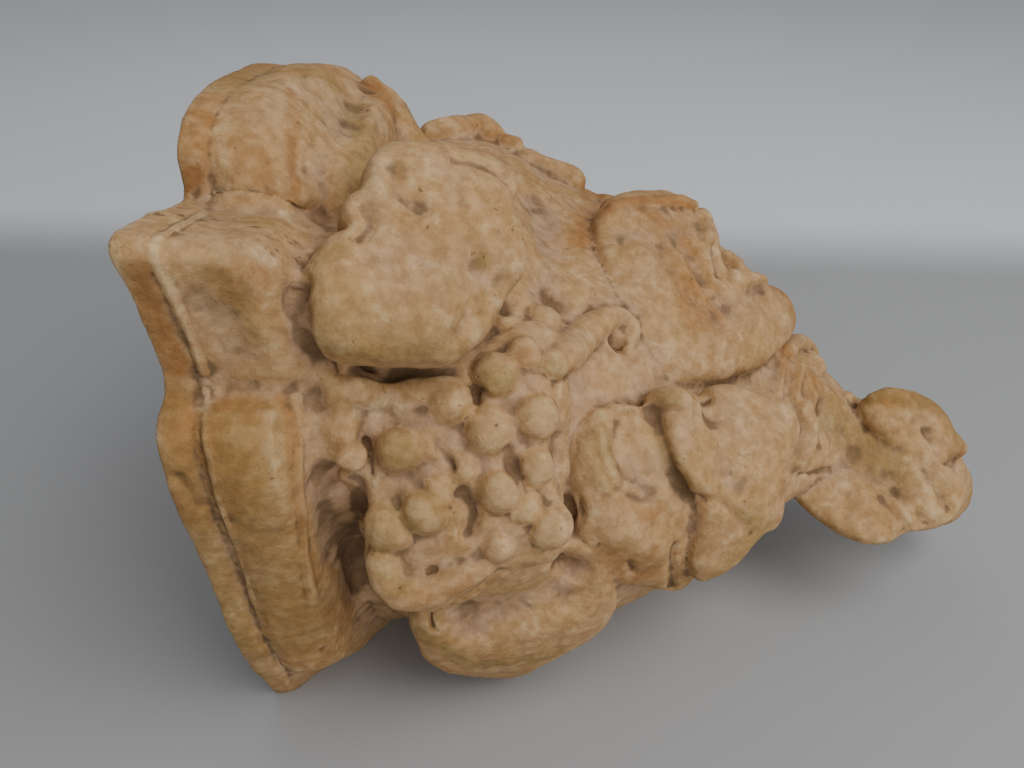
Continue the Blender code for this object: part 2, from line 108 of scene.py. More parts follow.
def smooth_path(points: np.ndarray, steps: int) -> np.ndarray:
    """Points along a cubic path through the given rows, at even shares of the row count.

    Args:
        points: Rows to pass through, in order.
        steps: Number of rows wanted.

    Returns:
        The path's rows.
    """
    points = np.asarray(points, float)
    if len(points) == 1:
        return np.repeat(points, steps, axis=0)
    knots = np.arange(len(points))
    at = np.linspace(0, len(points) - 1, steps)
    return np.stack([smooth_curve(at, knots, column) for column in points.T], -1)


def loft(rings: np.ndarray) -> Shell:
    """Closed shell through rings of equal point counts, with a fan over each end.

    Args:
        rings: Array of rows x columns x 3; each row is a closed ring.

    Returns:
        The shell.
    """
    rows, count, _ = rings.shape
    points = np.concatenate([rings.reshape(-1, 3), [rings[0].mean(0)], [rings[-1].mean(0)]])
    index = np.arange(rows * count).reshape(rows, count)
    ahead = np.roll(index, -1, axis=1)
    sides = np.stack([index[:-1], ahead[:-1], ahead[1:], index[1:]], -1).reshape(-1, 4).tolist()
    first = np.stack([ahead[0], index[0], np.full(count, rows * count)], -1).tolist()
    last = np.stack([index[-1], ahead[-1], np.full(count, rows * count + 1)], -1).tolist()
    return Shell(points, sides + first + last)


def ball(centre: np.ndarray, radius: float) -> Shell:
    """Ball of latitude rings.

    Args:
        centre: Its middle.
        radius: Its radius.

    Returns:
        The shell.
    """
    latitude = np.linspace(BALL_POLE_GAP, math.pi - BALL_POLE_GAP, BALL_RINGS)[:, None]
    longitude = np.linspace(0, 2 * math.pi, BALL_COLUMNS, endpoint=False)[None, :]
    unit = np.stack(np.broadcast_arrays(
        np.sin(latitude) * np.cos(longitude), np.sin(latitude) * np.sin(longitude),
        np.cos(latitude)), -1)
    return loft(unit * radius + centre)


def stem(path: np.ndarray, radii: np.ndarray, lean: np.ndarray) -> Shell:
    """Round stem: rings square to a path, drawn in to nothing past both ends as half balls.

    Args:
        path: Rows along the middle of the stem.
        radii: Radius at each row.
        lean: One direction that is not along the path, to start the rings from.

    Returns:
        The shell.
    """
    along = np.gradient(path, axis=0)
    along /= np.linalg.norm(along, axis=1)[:, None] + TINY
    side = np.cross(along, lean)
    side /= np.linalg.norm(side, axis=1)[:, None] + TINY
    over = np.cross(side, along)
    ease, drop = np.sin(np.radians(STEM_END_DEGREES)), np.cos(np.radians(STEM_END_DEGREES))
    head = path[0] - along[0] * radii[0] * drop[:, None]
    tail = path[-1] + along[-1] * radii[-1] * drop[::-1, None]
    centres = np.concatenate([head, path, tail])
    spread = np.concatenate([radii[0] * ease, radii, radii[-1] * ease[::-1]])
    more = ((len(ease), len(ease)), (0, 0))
    side, over = np.pad(side, more, mode="edge"), np.pad(over, more, mode="edge")
    turn = np.linspace(0, 2 * math.pi, STEM_SIDES, endpoint=False)[None, :, None]
    ring = np.cos(turn) * side[:, None] + np.sin(turn) * over[:, None]
    return loft(centres[:, None] + ring * spread[:, None, None])


def clay_noise(points: np.ndarray, size: float, seed: int) -> np.ndarray:
    """Smooth noise between -1 and 1: hashed numbers on a lattice, blended with a cubic ease.

    Args:
        points: Rows of places.
        size: Edge of a lattice cell.
        seed: Number that picks the pattern.

    Returns:
        One value for each place.
    """
    cell = np.floor(points / size).astype(np.int64)
    t = points / size - cell
    t = t * t * (3 - 2 * t)
    total = np.zeros(len(points))
    for corner in itertools.product((0, 1), repeat=3):
        mixed = np.bitwise_xor.reduce((cell + corner) * NOISE_FACTORS, axis=1)
        mixed ^= seed * NOISE_SEED_FACTOR
        mixed = ((mixed ^ (mixed >> 13)) * NOISE_MIX_FACTOR) & LOW_32_BITS
        mixed ^= mixed >> 16
        weight = np.prod(np.where(corner, t, 1 - t), axis=1)
        total += weight * ((mixed & LOW_16_BITS) / (LOW_16_BITS / 2) - 1)
    return total


def placed(name: str, data: bpy.types.ID) -> bpy.types.Object:
    """New object for a mesh, light or camera, linked into the scene."""
    thing = bpy.data.objects.new(name, data)
    bpy.context.scene.collection.objects.link(thing)
    return thing


@dataclass(frozen=True)
class ViewCamera:
    """Pinhole camera at the viewing angle, and the lines of sight through its frame."""

    focal_px: float = 900.0
    width_px: float = 1024.0
    height_px: float = 768.0
    sensor_mm: float = 36.0
    clip: tuple[float, float] = (0.01, 50.0)
    centre: tuple[float, float, float] = (-0.05280906, -0.46661848, 0.41242577)
    pitch: float = 32.0
    turn: float = 3.0

    def axes(self) -> np.ndarray:
        """Rows: to the right of the frame, up it and ahead."""
        pitch, turn = math.radians(self.pitch), math.radians(self.turn)
        right = np.array([math.cos(turn), math.sin(turn), 0.0])
        ahead = np.array([
            -math.sin(turn) * math.cos(pitch), math.cos(turn) * math.cos(pitch), -math.sin(pitch)])
        return np.stack([right, np.cross(right, ahead), ahead])

    def rays(self, points: Path | np.ndarray) -> np.ndarray:
        """Directions through points of the frame, each one long along the line ahead."""
        points = np.asarray(points, float).reshape(-1, 2)
        across = (points[:, 0] - self.width_px / 2) / self.focal_px
        up = -(points[:, 1] - self.height_px / 2) / self.focal_px
        return np.stack([across, up, np.ones(len(points))], -1) @ self.axes()

    def depth(self, places: np.ndarray) -> np.ndarray:
        """Distance of places ahead of the camera."""
        return (places - np.array(self.centre)) @ self.axes()[2]

    def build(self) -> bpy.types.Object:
        """Make the scene's camera.

        Returns:
            The camera object.
        """
        lens = bpy.data.cameras.new("view_camera")
        lens.sensor_width = self.sensor_mm
        lens.lens = self.focal_px / self.width_px * self.sensor_mm
        lens.clip_start, lens.clip_end = self.clip
        camera = placed("view_camera", lens)
        right, up, ahead = self.axes()
        turn = Matrix(np.stack([right, up, -ahead], 1).tolist()).to_4x4()
        camera.matrix_world = Matrix.Translation(self.centre) @ turn
        bpy.context.scene.camera = camera
        return camera


@dataclass(frozen=True)
class CorbelBody:
    """Tapering body behind the carving. A place on it is a share of the length and an angle.

    A section holds its share of the length, its half width as a share of the body's, the heights
    of its front, middle and bottom as shares of the depth, and two powers of a superellipse: of
    the near side above the middle, and of all that is below it.
    """

    length: float = 0.414
    seat_from_cap_end: float = 0.200
    half_width: float = 0.166
    depth: float = 0.272
    far_roundness: float = 2.2
    far_shift: float = 12.0
    far_reach: float = 0.4
    inner_end: float = -0.174
    rings: int = 90
    columns: int = 120
    sections: tuple[tuple[float, ...], ...] = (
        (0.121, 0.88, 0.95, 0.46, -0.10, 3.6, 1.5), (0.152, 0.93, 0.97, 0.43, -0.10, 3.8, 1.5),
        (0.194, 0.95, 0.97, 0.405, -0.10, 3.8, 1.6), (0.278, 0.94, 0.945, 0.39, -0.10, 3.1, 1.9),
        (0.362, 0.895, 0.875, 0.37, -0.09, 2.7, 1.9), (0.483, 0.76, 0.79, 0.34, -0.05, 2.4, 1.5),
        (0.604, 0.56, 0.668, 0.34, 0.07, 2.3, 1.5), (0.688, 0.395, 0.575, 0.36, 0.24, 2.2, 1.8),
        (0.749, 0.285, 0.488, 0.36, 0.26, 2.2, 2.0), (0.809, 0.235, 0.405, 0.31, 0.20, 2.2, 2.0),
        (0.893, 0.200, 0.38, 0.26, 0.14, 2.2, 2.0), (0.961, 0.16, 0.31, 0.20, 0.11, 2.2, 2.0),
        (0.996, 0.07, 0.24, 0.18, 0.13, 2.2, 2.0),
    )

    def column(self, share: np.ndarray, k: int) -> np.ndarray:
        """Value in one column of the sections at shares of the length."""
        rows = np.array(self.sections)
        return smooth_curve(share, rows[:, 0], rows[:, k])

    def point(self, share: np.ndarray, angle: np.ndarray, lift: float = 0.0) -> np.ndarray:
        """Place on the body: a superellipse round each section, pushed outwards by the lift.

        Args:
            share: Share of the length from the cap end.
            angle: Degrees round the section from the near side over the front.
            lift: Distance above the body.

        Returns:
            The places.
        """
        half_width = self.column(share, 1) * self.half_width
        front, middle, bottom = (self.column(share, k) * self.depth for k in (2, 3, 4))
        across, up = np.cos(np.radians(angle)), np.sin(np.radians(angle))
        power = np.where((across > 0) & (up > 0), self.column(share, 5), self.far_roundness)
        power = np.where(up > 0, power, self.column(share, 6))
        rise = np.where(up > 0, front - middle, middle - bottom)
        radius = np.abs(across / half_width) ** power + np.abs(up / rise) ** power
        radius = radius ** (-1 / power) + lift
        along = np.asarray(share) * self.length - self.seat_from_cap_end
        return np.stack(np.broadcast_arrays(along, -radius * across, middle + radius * up), -1)

    def middle(self, share: np.ndarray) -> np.ndarray:
        """Places on the line that the angles are measured round."""
        height = self.column(share, 3) * self.depth
        along = np.asarray(share) * self.length - self.seat_from_cap_end
        return np.stack([along, np.zeros_like(height), height], -1)

    def far_place(self, place: np.ndarray) -> tuple[np.ndarray, np.ndarray]:
        """Start and direction of a line that drops on the far side opposite a near place."""
        share = (place[0] + self.seat_from_cap_end) / self.length
        core = self.middle(np.array([share]))[0]
        angle = math.degrees(math.atan2(place[2] - core[2], -place[1]))
        turn = math.radians(180 + self.far_shift - angle)
        out = np.array([0.0, -math.cos(turn), math.sin(turn)])
        return core + out * self.far_reach, -out

    def shell(self) -> Shell:
        """The body as rings of places from inside the cap to the tail."""
        shares = np.linspace(self.sections[0][0], self.sections[-1][0], self.rings)
        angles = np.linspace(-180, 180, self.columns, endpoint=False)
        rings = self.point(shares[:, None], angles[None, :])
        inner = rings[0].copy()
        inner[:, 0] = self.inner_end
        return loft(np.concatenate([inner[None], rings]))


@dataclass(frozen=True)
class MouldedCap:
    """Cap: a plan of bowed lobes and corner blocks carried along the moulding's profile.

    A row of the plan holds the outline's distance from the middle and from the wall, then the
    neck's, as shares of the half width and the depth. A row of the bowl holds the share of the
    way from the fillet to the neck, the blend towards the neck's outline and the share of the
    swell.
    """

    end: float = -0.2025
    half_width: float = 0.196
    depth: float = 0.318
    thickness: float = 0.064
    fillet: float = 0.013
    crease: float = 0.003
    swell: float = 0.006
    front_calm: float = 0.55
    front_edge: float = 0.72
    front_fade: float = 0.08
    front_set_back: float = 0.005
    set_back_share: float = 0.7
    block_calm: float = 0.9
    block_edge: float = 0.68
    block_fade: float = 0.04
    foot_height: float = 0.13
    foot_taper: float = 0.35
    foot_share: float = 0.3
    turn_reach: int = 3
    plan: tuple[tuple[float, ...], ...] = (
        (-0.63, -0.06, -0.40, -0.06), (-0.71, 0.00, -0.49, 0.00), (-0.865, 0.22, -0.68, 0.22),
        (-0.95, 0.47, -0.86, 0.47), (-0.995, 0.58, -0.90, 0.57), (-1.00, 0.655, -0.90, 0.64),
        (-0.975, 0.69, -0.885, 0.665), (-0.92, 0.72, -0.86, 0.68), (-0.955, 0.835, -0.875, 0.80),
        (-0.99, 0.92, -0.85, 0.84), (-0.85, 0.915, -0.74, 0.855), (-0.655, 0.893, -0.60, 0.85),
        (-0.65, 0.95, -0.57, 0.88), (-0.57, 0.988, -0.50, 0.91), (-0.44, 1.00, -0.39, 0.925),
        (-0.235, 0.994, -0.21, 0.93), (-0.07, 0.98, -0.06, 0.93), (0.13, 0.95, 0.11, 0.915),
        (0.31, 0.91, 0.27, 0.87), (0.43, 0.855, 0.39, 0.82), (0.495, 0.80, 0.46, 0.77),
        (0.66, 0.795, 0.59, 0.755), (0.83, 0.78, 0.71, 0.715), (0.87, 0.70, 0.755, 0.655),
        (0.855, 0.615, 0.765, 0.585), (0.93, 0.565, 0.805, 0.54), (0.945, 0.52, 0.815, 0.495),
        (0.91, 0.315, 0.765, 0.31), (0.86, 0.155, 0.64, 0.155), (0.73, 0.00, 0.52, 0.00),
        (0.68, -0.06, 0.48, -0.06),
    )
    bowl: tuple[tuple[float, float, float], ...] = (
        (0.05, 0.10, 0.0), (0.16, 0.16, 0.7), (0.34, 0.24, 1.0), (0.50, 0.36, 1.0),
        (0.59, 0.46, 0.95), (0.63, 0.55, 0.7), (0.74, 0.80, 0.1),
    )

    def profile(self) -> np.ndarray:
        """Rows of reach from the end, share of the way to the neck, and swell outwards."""
        fillet, crease, wide = self.fillet, self.crease, self.thickness - self.fillet
        bowl = [(fillet + at * wide, blend, self.swell * part) for at, blend, part in self.bowl]
        return np.array((
            (0.0, 0.0, 0.0), (fillet * 0.3, 0.0, 0.0006), (fillet * 0.8, 0.03, 0.0),
            (fillet, 0.08, -crease * 0.7), *bowl, (fillet + 0.84 * wide, 0.98, -crease * 0.6),
            (self.thickness, 1.04, 0.0), (self.thickness + 0.003, 1.12, 0.0),
            (self.thickness + 0.007, 1.5, 0.0),
        ))

    def shell(self) -> Shell:
        """The plan's outline and neck outline blended along the profile."""
        plan = np.array(self.plan) * (self.half_width, self.depth, self.half_width, self.depth)
        plan = smooth_path(plan, len(plan) * STEPS_PER_POINT)
        outline, neck = plan[:, :2], plan[:, 2:]
        ahead, behind = -self.turn_reach, self.turn_reach
        along = np.roll(outline, ahead, axis=0) - np.roll(outline, behind, axis=0)
        outward = np.stack([-along[:, 1], along[:, 0]], -1)
        outward /= np.linalg.norm(outward, axis=1)[:, None]
        reach, blend, swell = (column[:, None, None] for column in self.profile().T)
        side, height = np.abs(outline[:, :1]) / self.half_width, outline[:, 1:] / self.depth
        front = np.clip((self.front_edge - side) / self.front_fade, 0, 1)
        block = np.clip((height - self.block_edge) / self.block_fade, 0, 1) * (1 - front)
        foot = np.clip(1 - height / self.foot_height, 0, 1)
        calm = np.maximum(np.maximum(front * self.front_calm, block * self.block_calm), foot)
        taper = np.clip((reach - self.fillet) / (self.foot_share * self.thickness), 0, 1)
        blend = blend + foot * self.foot_taper * taper
        set_back = np.clip(reach / self.thickness / self.set_back_share, 0, 1)
        reach = reach - front * self.front_set_back * set_back
        ring = outline * (1 - blend) + neck * blend + outward * (swell * (1 - calm))
        x = np.broadcast_to(reach + self.end, ring.shape[:2] + (1,))
        return loft(np.concatenate([x, ring], -1)[:, ::-1])


@dataclass(frozen=True)
class VineLeaf:
    """Thick lobed leaf bent over the body; its outline is given in the view.

    Its middle stands on the body at a share of the length and an angle. The face leans towards
    the tail and faces an angle round the body, in degrees. Edge and crown are the powers that
    round the rim and the face, low for square.
    """

    name: str
    share: float
    angle: float
    stand_off: float
    lean: float
    facing: float
    outline: Path
    far_side: bool = True
    thickness: float = 0.026
    bend_radius: float = 0.150
    edge: float = 0.42
    crown: float = 0.55
    long_bend: float = 0.5
    pole_gap: float = 0.10
    rings: int = 34
    columns: int = 144
    sight_rounds: int = 5
    rim_blur: tuple[float, ...] = (0.06, 0.24, 0.40, 0.24, 0.06)

    def face_frame(self) -> np.ndarray:
        """Columns: along the leaf, across it and out of its face."""
        lean, facing = math.radians(self.lean), math.radians(self.facing)
        out = np.array([
            math.sin(lean), -math.cos(lean) * math.cos(facing), math.cos(lean) * math.sin(facing)])
        along = np.array([1.0, 0.0, 0.0]) - out * out[0]
        along /= np.linalg.norm(along)
        return np.stack([along, np.cross(out, along), out], 1)

    def sag(self, u: np.ndarray, v: np.ndarray) -> np.ndarray:
        """Drop of the bent face: half the square of the distance over the bend radius."""
        return -(u**2 * self.long_bend + v**2) / (2 * self.bend_radius)

    def rim(self, centre: np.ndarray, view: ViewCamera) -> tuple[np.ndarray, np.ndarray]:
        """Angle and reach of the rim: the outline's lines of sight met with the bent face.

        Args:
            centre: Middle of the leaf.
            view: Camera whose frame the outline is given in.

        Returns:
            Even angles in radians, and the reach at each.
        """
        axes = self.face_frame()
        rays = view.rays(self.outline)
        offset = np.zeros(len(rays))
        start = np.array(view.centre) - centre
        for _ in range(self.sight_rounds):
            reach = (offset - start @ axes[:, 2]) / (rays @ axes[:, 2])
            local = (start + rays * reach[:, None]) @ axes
            offset = self.sag(local[:, 0], local[:, 1])
        turn = np.arctan2(local[:, 1], local[:, 0])
        order = np.argsort(turn)
        turn, span = turn[order], np.hypot(local[:, 0], local[:, 1])[order]
        even = np.linspace(-math.pi, math.pi, self.columns, endpoint=False)
        wide = np.interp(even, turn, span, period=2 * math.pi)
        middle = len(self.rim_blur) // 2
        wide = sum(part * np.roll(wide, k - middle) for k, part in enumerate(self.rim_blur))
        return even, wide

    def shells(self, body: CorbelBody, view: ViewCamera) -> list[Shell]:
        """The near leaf, and its plainer, lower copy on the far side.

        Args:
            body: Body that carries the leaf.
            view: Camera whose frame the outline is given in.

        Returns:
            One or two shells.
        """
        centre = body.point(self.share, self.angle, self.stand_off * self.thickness)
        turn, wide = self.rim(centre, view)
        latitude = np.linspace(self.pole_gap, math.pi - self.pole_gap, self.rings)[:, None]
        spread = wide[None, :] * np.sin(latitude) ** self.edge
        u, v = spread * np.cos(turn), spread * np.sin(turn)
        height = np.cos(latitude)
        rise = self.thickness / 2 * np.sign(height) * np.abs(height) ** self.crown + self.sag(u, v)
        axes = self.face_frame()
        place = u[..., None] * axes[:, 0] + v[..., None] * axes[:, 1] + rise[..., None] * axes[:, 2]
        shells = [loft(place + centre)]
        if self.far_side:
            far = body.point(self.share, 180 + body.far_shift - self.angle)
            shells.append(loft((place * (1, -1, 1) + far)[:, ::-1]))
        return shells


class ClaySurface:
    """Skin of joined shells that lines of sight can be met with."""

    # Nearest and furthest distance ahead that a missed line is searched at, and the number of tries
    MISS_REACH = (0.4, 0.8, 60)

    def __init__(self, points: np.ndarray, faces: Sequence[Sequence[int]], view: ViewCamera,
                 body: CorbelBody) -> None:
        """Keep the skin for ray casts.

        Args:
            points: Points of the skin.
            faces: Faces as point numbers.
            view: Camera whose frame places are given in.
            body: Body that the far side is found round.
        """
        self.tree = BVHTree.FromPolygons([Vector(p) for p in points.tolist()], faces)
        self.view = view
        self.body = body

    @staticmethod
    def against(normal: Vector, ray: np.ndarray) -> Vector:
        """The normal, turned to face the ray."""
        return normal if normal.dot(Vector(ray)) < 0 else -normal

    def place(self, points: Path | np.ndarray) -> tuple[np.ndarray, np.ndarray]:
        """Places on the skin under points of the view, and the skin's normals there.

        Args:
            points: Points of the view.

        Returns:
            Places and normals; a line that misses takes the skin's nearest place to it.
        """
        start = Vector(self.view.centre)
        places, normals = [], []
        for ray in self.view.rays(points):
            hit, normal, _, _ = self.tree.ray_cast(start, Vector(ray))
            if hit is None:
                reaches = np.linspace(*self.MISS_REACH)
                tries = [self.tree.find_nearest(start + Vector(ray) * t) for t in reaches]
                hit, normal = min(tries, key=lambda found: found[3])[:2]
            places.append(hit)
            normals.append(self.against(normal, ray))
        return np.array(places), np.array(normals)

    def opposite(self, places: np.ndarray) -> tuple[np.ndarray, np.ndarray]:
        """The same places on the far side of the body.

        Args:
            places: Places on the near side.

        Returns:
            Places and normals; a line that misses takes the origin, which lies under the clay.
        """
        found, normals = [], []
        for place in places:
            start, ray = self.body.far_place(place)
            hit, normal, _, _ = self.tree.ray_cast(Vector(start), Vector(ray))
            if hit is None:
                hit, normal = Vector(), Vector((0, 0, 1))
            found.append(hit)
            normals.append(self.against(normal, ray))
        return np.array(found), np.array(normals)


@dataclass(frozen=True)
class Grape:
    """One grape: its middle and radius in the view, and how far it stands out of the clay."""

    x: float
    y: float
    radius: float
    lift: float = 0.35


@dataclass(frozen=True)
class Roll:
    """Rolled edge, rib or tendril: a path in the view with its radius at every point."""

    path: Path
    lift: float = 0.2
    far_side: bool = True


GRAPES = (
    Grape(545, 321, 22, -0.29), Grape(508, 327, 17, -0.34), Grape(523, 353, 18, -0.24),
    Grape(555, 364, 16, -0.04), Grape(495, 375, 24, -0.25), Grape(450, 402, 25, -0.29),
    Grape(490, 431, 27, -0.24), Grape(536, 418, 24, -0.19), Grape(399, 450, 25, -0.09),
    Grape(351, 457, 17, -0.04), Grape(370, 412, 30, -0.54), Grape(536, 466, 23, -0.39),
    Grape(500, 491, 23, -0.24), Grape(551, 526, 23, 0.03), Grape(498, 546, 16, -0.04),
    Grape(428, 445, 22, -0.54), Grape(462, 468, 20, -0.49), Grape(438, 492, 22, -0.54),
    Grape(388, 528, 30, -0.39), Grape(424, 511, 27, -0.29), Grape(526, 508, 20, -0.54),
    Grape(400, 400, 22, -0.59),
)

ROLLS = (
    Roll((566, 356, 19, 582, 337, 18, 598, 324, 15, 614, 318, 11, 627, 323, 9, 631, 335, 8,
        625, 347, 6), 0.0),
    Roll((384, 560, 18, 394, 580, 21, 412, 588, 22, 438, 584, 19, 464, 574, 16,
        483, 565, 12), 0.1),
    Roll((352, 386, 20, 385, 394, 20, 420, 390, 18, 448, 386, 16), -0.2, False),
    Roll((338, 380, 20, 344, 410, 20, 348, 436, 16), -0.65, False),
    Roll((655, 402, 11, 670, 397, 13, 682, 400, 11), 0.1, False),
    Roll((614, 206, 8, 645, 203, 9, 676, 203, 10, 692, 208, 9), 0.05, False),
    Roll((706, 230, 9, 708, 242, 10), 0.1, False),
    Roll((728, 256, 9, 738, 263, 8), -0.2, False),
    Roll((735, 280, 10, 760, 282, 9), 0.0, False),
    Roll((786, 352, 8, 797, 344, 9, 810, 350, 9, 813, 364, 7), 0.15, False),
    Roll((783, 360, 5, 780, 378, 6, 777, 396, 6), 0.0),
    Roll((800, 368, 5, 797, 384, 6, 795, 400, 6), 0.0),
    Roll((802, 408, 12, 806, 428, 13, 802, 448, 12, 797, 460, 10), 0.0),
    Roll((872, 399, 7, 888, 396, 8, 902, 398, 7), 0.0, False),
)


@dataclass(frozen=True)
class Crest:
    """Raised form on the outline: share, angle, lift and radius in millimetres, in turn."""

    rows: tuple[float, ...]


CRESTS = (
    Crest((0.12, 92, 37, 6, 0.127, 92, 30, 10, 0.142, 91, 15, 12, 0.164, 90, 0, 12,
        0.195, 90, -8, 10)),
    Crest((0.185, 102, 1, 9, 0.205, 104, 2, 9, 0.225, 108, 3, 9)),
    Crest((0.232, 110, 5, 9, 0.246, 110, 6, 10, 0.258, 111, 5, 9)),
    Crest((0.283, 110, 2, 7, 0.293, 110, 2, 8)),
    Crest((0.315, 108, 1, 8, 0.335, 109, 2, 9, 0.352, 109, 3, 9, 0.374, 109, 3, 9)),
    Crest((0.718, 80, 2, 6, 0.727, 79, 2, 6)),
    Crest((0.783, 85, -1, 5, 0.79, 85, -1, 5)),
    Crest((0.94, 71, 3, 7, 0.948, 71, 3, 7)),
)


class Work(Enum):
    """How a stroke's depth falls off across it: like a bell, or fuller with steeper sides."""

    SOFT = 1.0
    ROUND = 2.0


@dataclass(frozen=True)
class Stroke:
    """Stroke of the modelling tool: width in the view, depth in millimetres (minus lifts), path."""

    width: float
    depth: float
    path: Path
    far_side: bool = False
    work: Work = Work.SOFT


STROKES = tuple(Stroke(*row) for row in (
    (40, 5, (542, 205, 550, 235, 556, 265, 548, 292), True),
    (30, 5, (618, 232, 640, 230, 662, 240)),
    (16, 4, (676, 232, 694, 258, 712, 286, 728, 302)),
    (16, 8, (702, 216, 712, 221)),
    (9, 3, (714, 246, 716, 262, 718, 274)),
    (16, 2, (762, 290, 748, 300, 734, 308)),
    (52, 9, (480, 622, 520, 612, 560, 600), True),
    (26, 12, (572, 568, 584, 574)),
    (30, 5, (622, 425, 634, 455, 646, 490), True),
    (12, 4, (704, 398, 709, 412, 718, 424)),
    (34, 6, (834, 418, 852, 440, 874, 464, 892, 480)),
    (12, 3, (900, 490, 914, 508, 926, 524)),
    (10, 2, (884, 498, 900, 520, 905, 532)),
    (6, 1.5, (800, 474, 815, 474, 830, 470)),
    (14, 3, (826, 400, 824, 420, 824, 445)),
    (12, 2.5, (930, 430, 940, 448, 955, 466)),
    (12, 3, (925, 470, 940, 492, 950, 510)),
    (16, 2, (915, 420, 935, 436)),
    (30, -5, (225, 200, 262, 198, 300, 196), True),
    (22, 3, (352, 105, 354, 135, 352, 165)),
    (34, 2, (195, 265, 215, 305, 240, 350), True),
    (8, -1.8, (152, 246, 160, 270, 175, 300, 190, 335, 204, 372), True),
    (5, -2, (158, 242, 185, 225, 205, 215)),
    (12, 2, (178, 478, 186, 490, 198, 505)),
    (5, -1.3, (206, 392, 207, 440, 219, 500, 250, 588, 288, 684)),
    (8, -1.8, (296, 400, 298, 470, 304, 540, 312, 600)),
    (22, 2, (324, 470, 332, 560)),
    (3, 3, (201, 431, 201, 437), False, Work.ROUND),
    (3, 2.5, (201, 446, 200, 451), False, Work.ROUND),
    (4, 4, (320, 653, 324, 647), False, Work.ROUND),
    (14, 1, (230, 388, 262, 385, 290, 388)),
    (16, 3, (480, 392)),
    (11, 3, (428, 611, 455, 606, 480, 590, 500, 572)),
    (5, 3, (427, 571, 435, 569)),
    (11, 7, (615, 341, 622, 346)),
    (10, 6, (798, 356, 801, 360)),
    (3, 2.5, (428, 226), False, Work.ROUND),
    (3.5, 4, (429, 616, 432, 630), False, Work.ROUND),
    (14, 3, (362, 205, 368, 222, 360, 236)),
    (18, 3, (392, 165, 400, 190, 420, 205)),
    (10, 2.5, (455, 158, 485, 165, 508, 182)),
    (44, -2, (340, 290, 390, 315, 430, 325)),
    (20, 4, (482, 262, 500, 282, 505, 305)),
    (22, 3, (460, 330, 480, 300, 470, 270)),
    (34, 6, (338, 484, 344, 515, 352, 550, 364, 590)),
    (20, 5, (346, 490, 352, 520, 360, 555, 372, 592)),
    (24, 5, (298, 290, 300, 325, 315, 352, 335, 368)),
    (14, 3, (342, 370, 400, 374, 450, 372)),
    (30, -2, (596, 222, 600, 250, 608, 288), True),
    (20, 3, (652, 415, 656, 440, 665, 465, 680, 487, 692, 497)),
    (20, -2.5, (600, 420, 596, 450, 604, 482)),
    (34, -5, (628, 530, 650, 550)),
    (18, -3, (672, 425, 680, 458, 698, 486)),
    (30, 3, (718, 425, 726, 460, 735, 485)),
    (36, 2.5, (712, 530, 722, 552)),
    (7, -2, (600, 432, 604, 455, 618, 482, 645, 497)),
    (20, 2.5, (560, 300, 552, 285)),
    (8, 2.5, (673, 545, 672, 562, 672, 590)),
    (4, 3, (628, 560, 634, 572), False, Work.ROUND),
    (12, 2.2, (695, 498, 715, 503, 732, 510, 742, 524, 752, 534)),
    (20, 5, (560, 440, 566, 480, 572, 515)),
    (24, 3, (672, 262, 690, 290, 715, 312)),
    (7, 4, (471, 386, 477, 401)),
    (9, 4, (440, 440, 450, 468)),
    (13, 4.5, (464, 495, 472, 515, 468, 535)),
    (7, 3.5, (366, 442, 371, 474)),
    (14, 2.5, (508, 452, 514, 470, 520, 480)),
))


class Tint(Enum):
    """What the clay takes in places: the channel of the tint attribute."""

    STAIN_AND_SHADE = 0
    PALE = 1
    OLIVE = 2
    PITS = 3


@dataclass(frozen=True)
class Patch:
    """Tinted patch: radius in the view, strength and path."""

    width: float
    strength: float
    path: Path
    far_side: bool = False


STAINS_AND_SHADE = tuple(Patch(*row) for row in (
    (26, 1.0, (182, 395, 180, 440, 183, 480, 195, 520)),
    (18, 0.9, (135, 262, 145, 290, 160, 330, 178, 370)),
    # partly painted shade on the cap's near lobe, besides its stain
    (44, 0.9, (232, 415, 228, 460, 235, 495)),
    (13, 0.75, (285, 400, 292, 450, 300, 520, 318, 580)),
    # partly painted shade low on the cap's near lobe, besides its stain
    (70, 0.45, (262, 540, 290, 600, 310, 650)),
    (28, 0.7, (225, 275, 252, 280, 240, 300)),
    (10, 0.95, (290, 90, 293, 130, 295, 190), True),
    (20, 0.8, (215, 95, 197, 130, 193, 185), True),
    (18, 0.65, (225, 85, 262, 74, 300, 72, 335, 80), True),
    (30, 0.5, (245, 110, 250, 150, 262, 185)),
    (22, 0.8, (372, 76, 378, 92, 390, 108)),
    (16, 0.7, (462, 120, 482, 122, 492, 132), True),
    (14, 0.8, (500, 138, 512, 138), True),
    (18, 0.75, (598, 195, 590, 215, 580, 242), True),
    (13, 0.85, (616, 200, 650, 197, 692, 203), True),
    (16, 0.6, (645, 210, 668, 225, 692, 250, 708, 272)),
    (40, 0.65, (678, 262, 690, 290, 700, 312), True),
    (16, 0.8, (770, 285, 794, 305, 796, 330, 785, 350), True),
    (36, 0.45, (612, 555, 640, 575, 655, 560), True),
    (22, 0.5, (628, 500, 650, 520)),
    (12, 0.6, (782, 470, 778, 520)),
    (28, 0.5, (775, 360, 805, 385, 840, 400)),
    (18, 1.0, (870, 393, 905, 393, 935, 405, 955, 435, 966, 450)),
    # partly painted shade in the trough of the tail leaf, besides its stain
    (26, 0.8, (845, 430, 870, 455)),
    (34, 0.9, (215, 80, 262, 66, 320, 66)),
    (18, 0.5, (395, 585, 430, 600, 470, 585)),
    (12, 0.6, (340, 440, 345, 470)),
    (14, 0.6, (524, 355)),
))
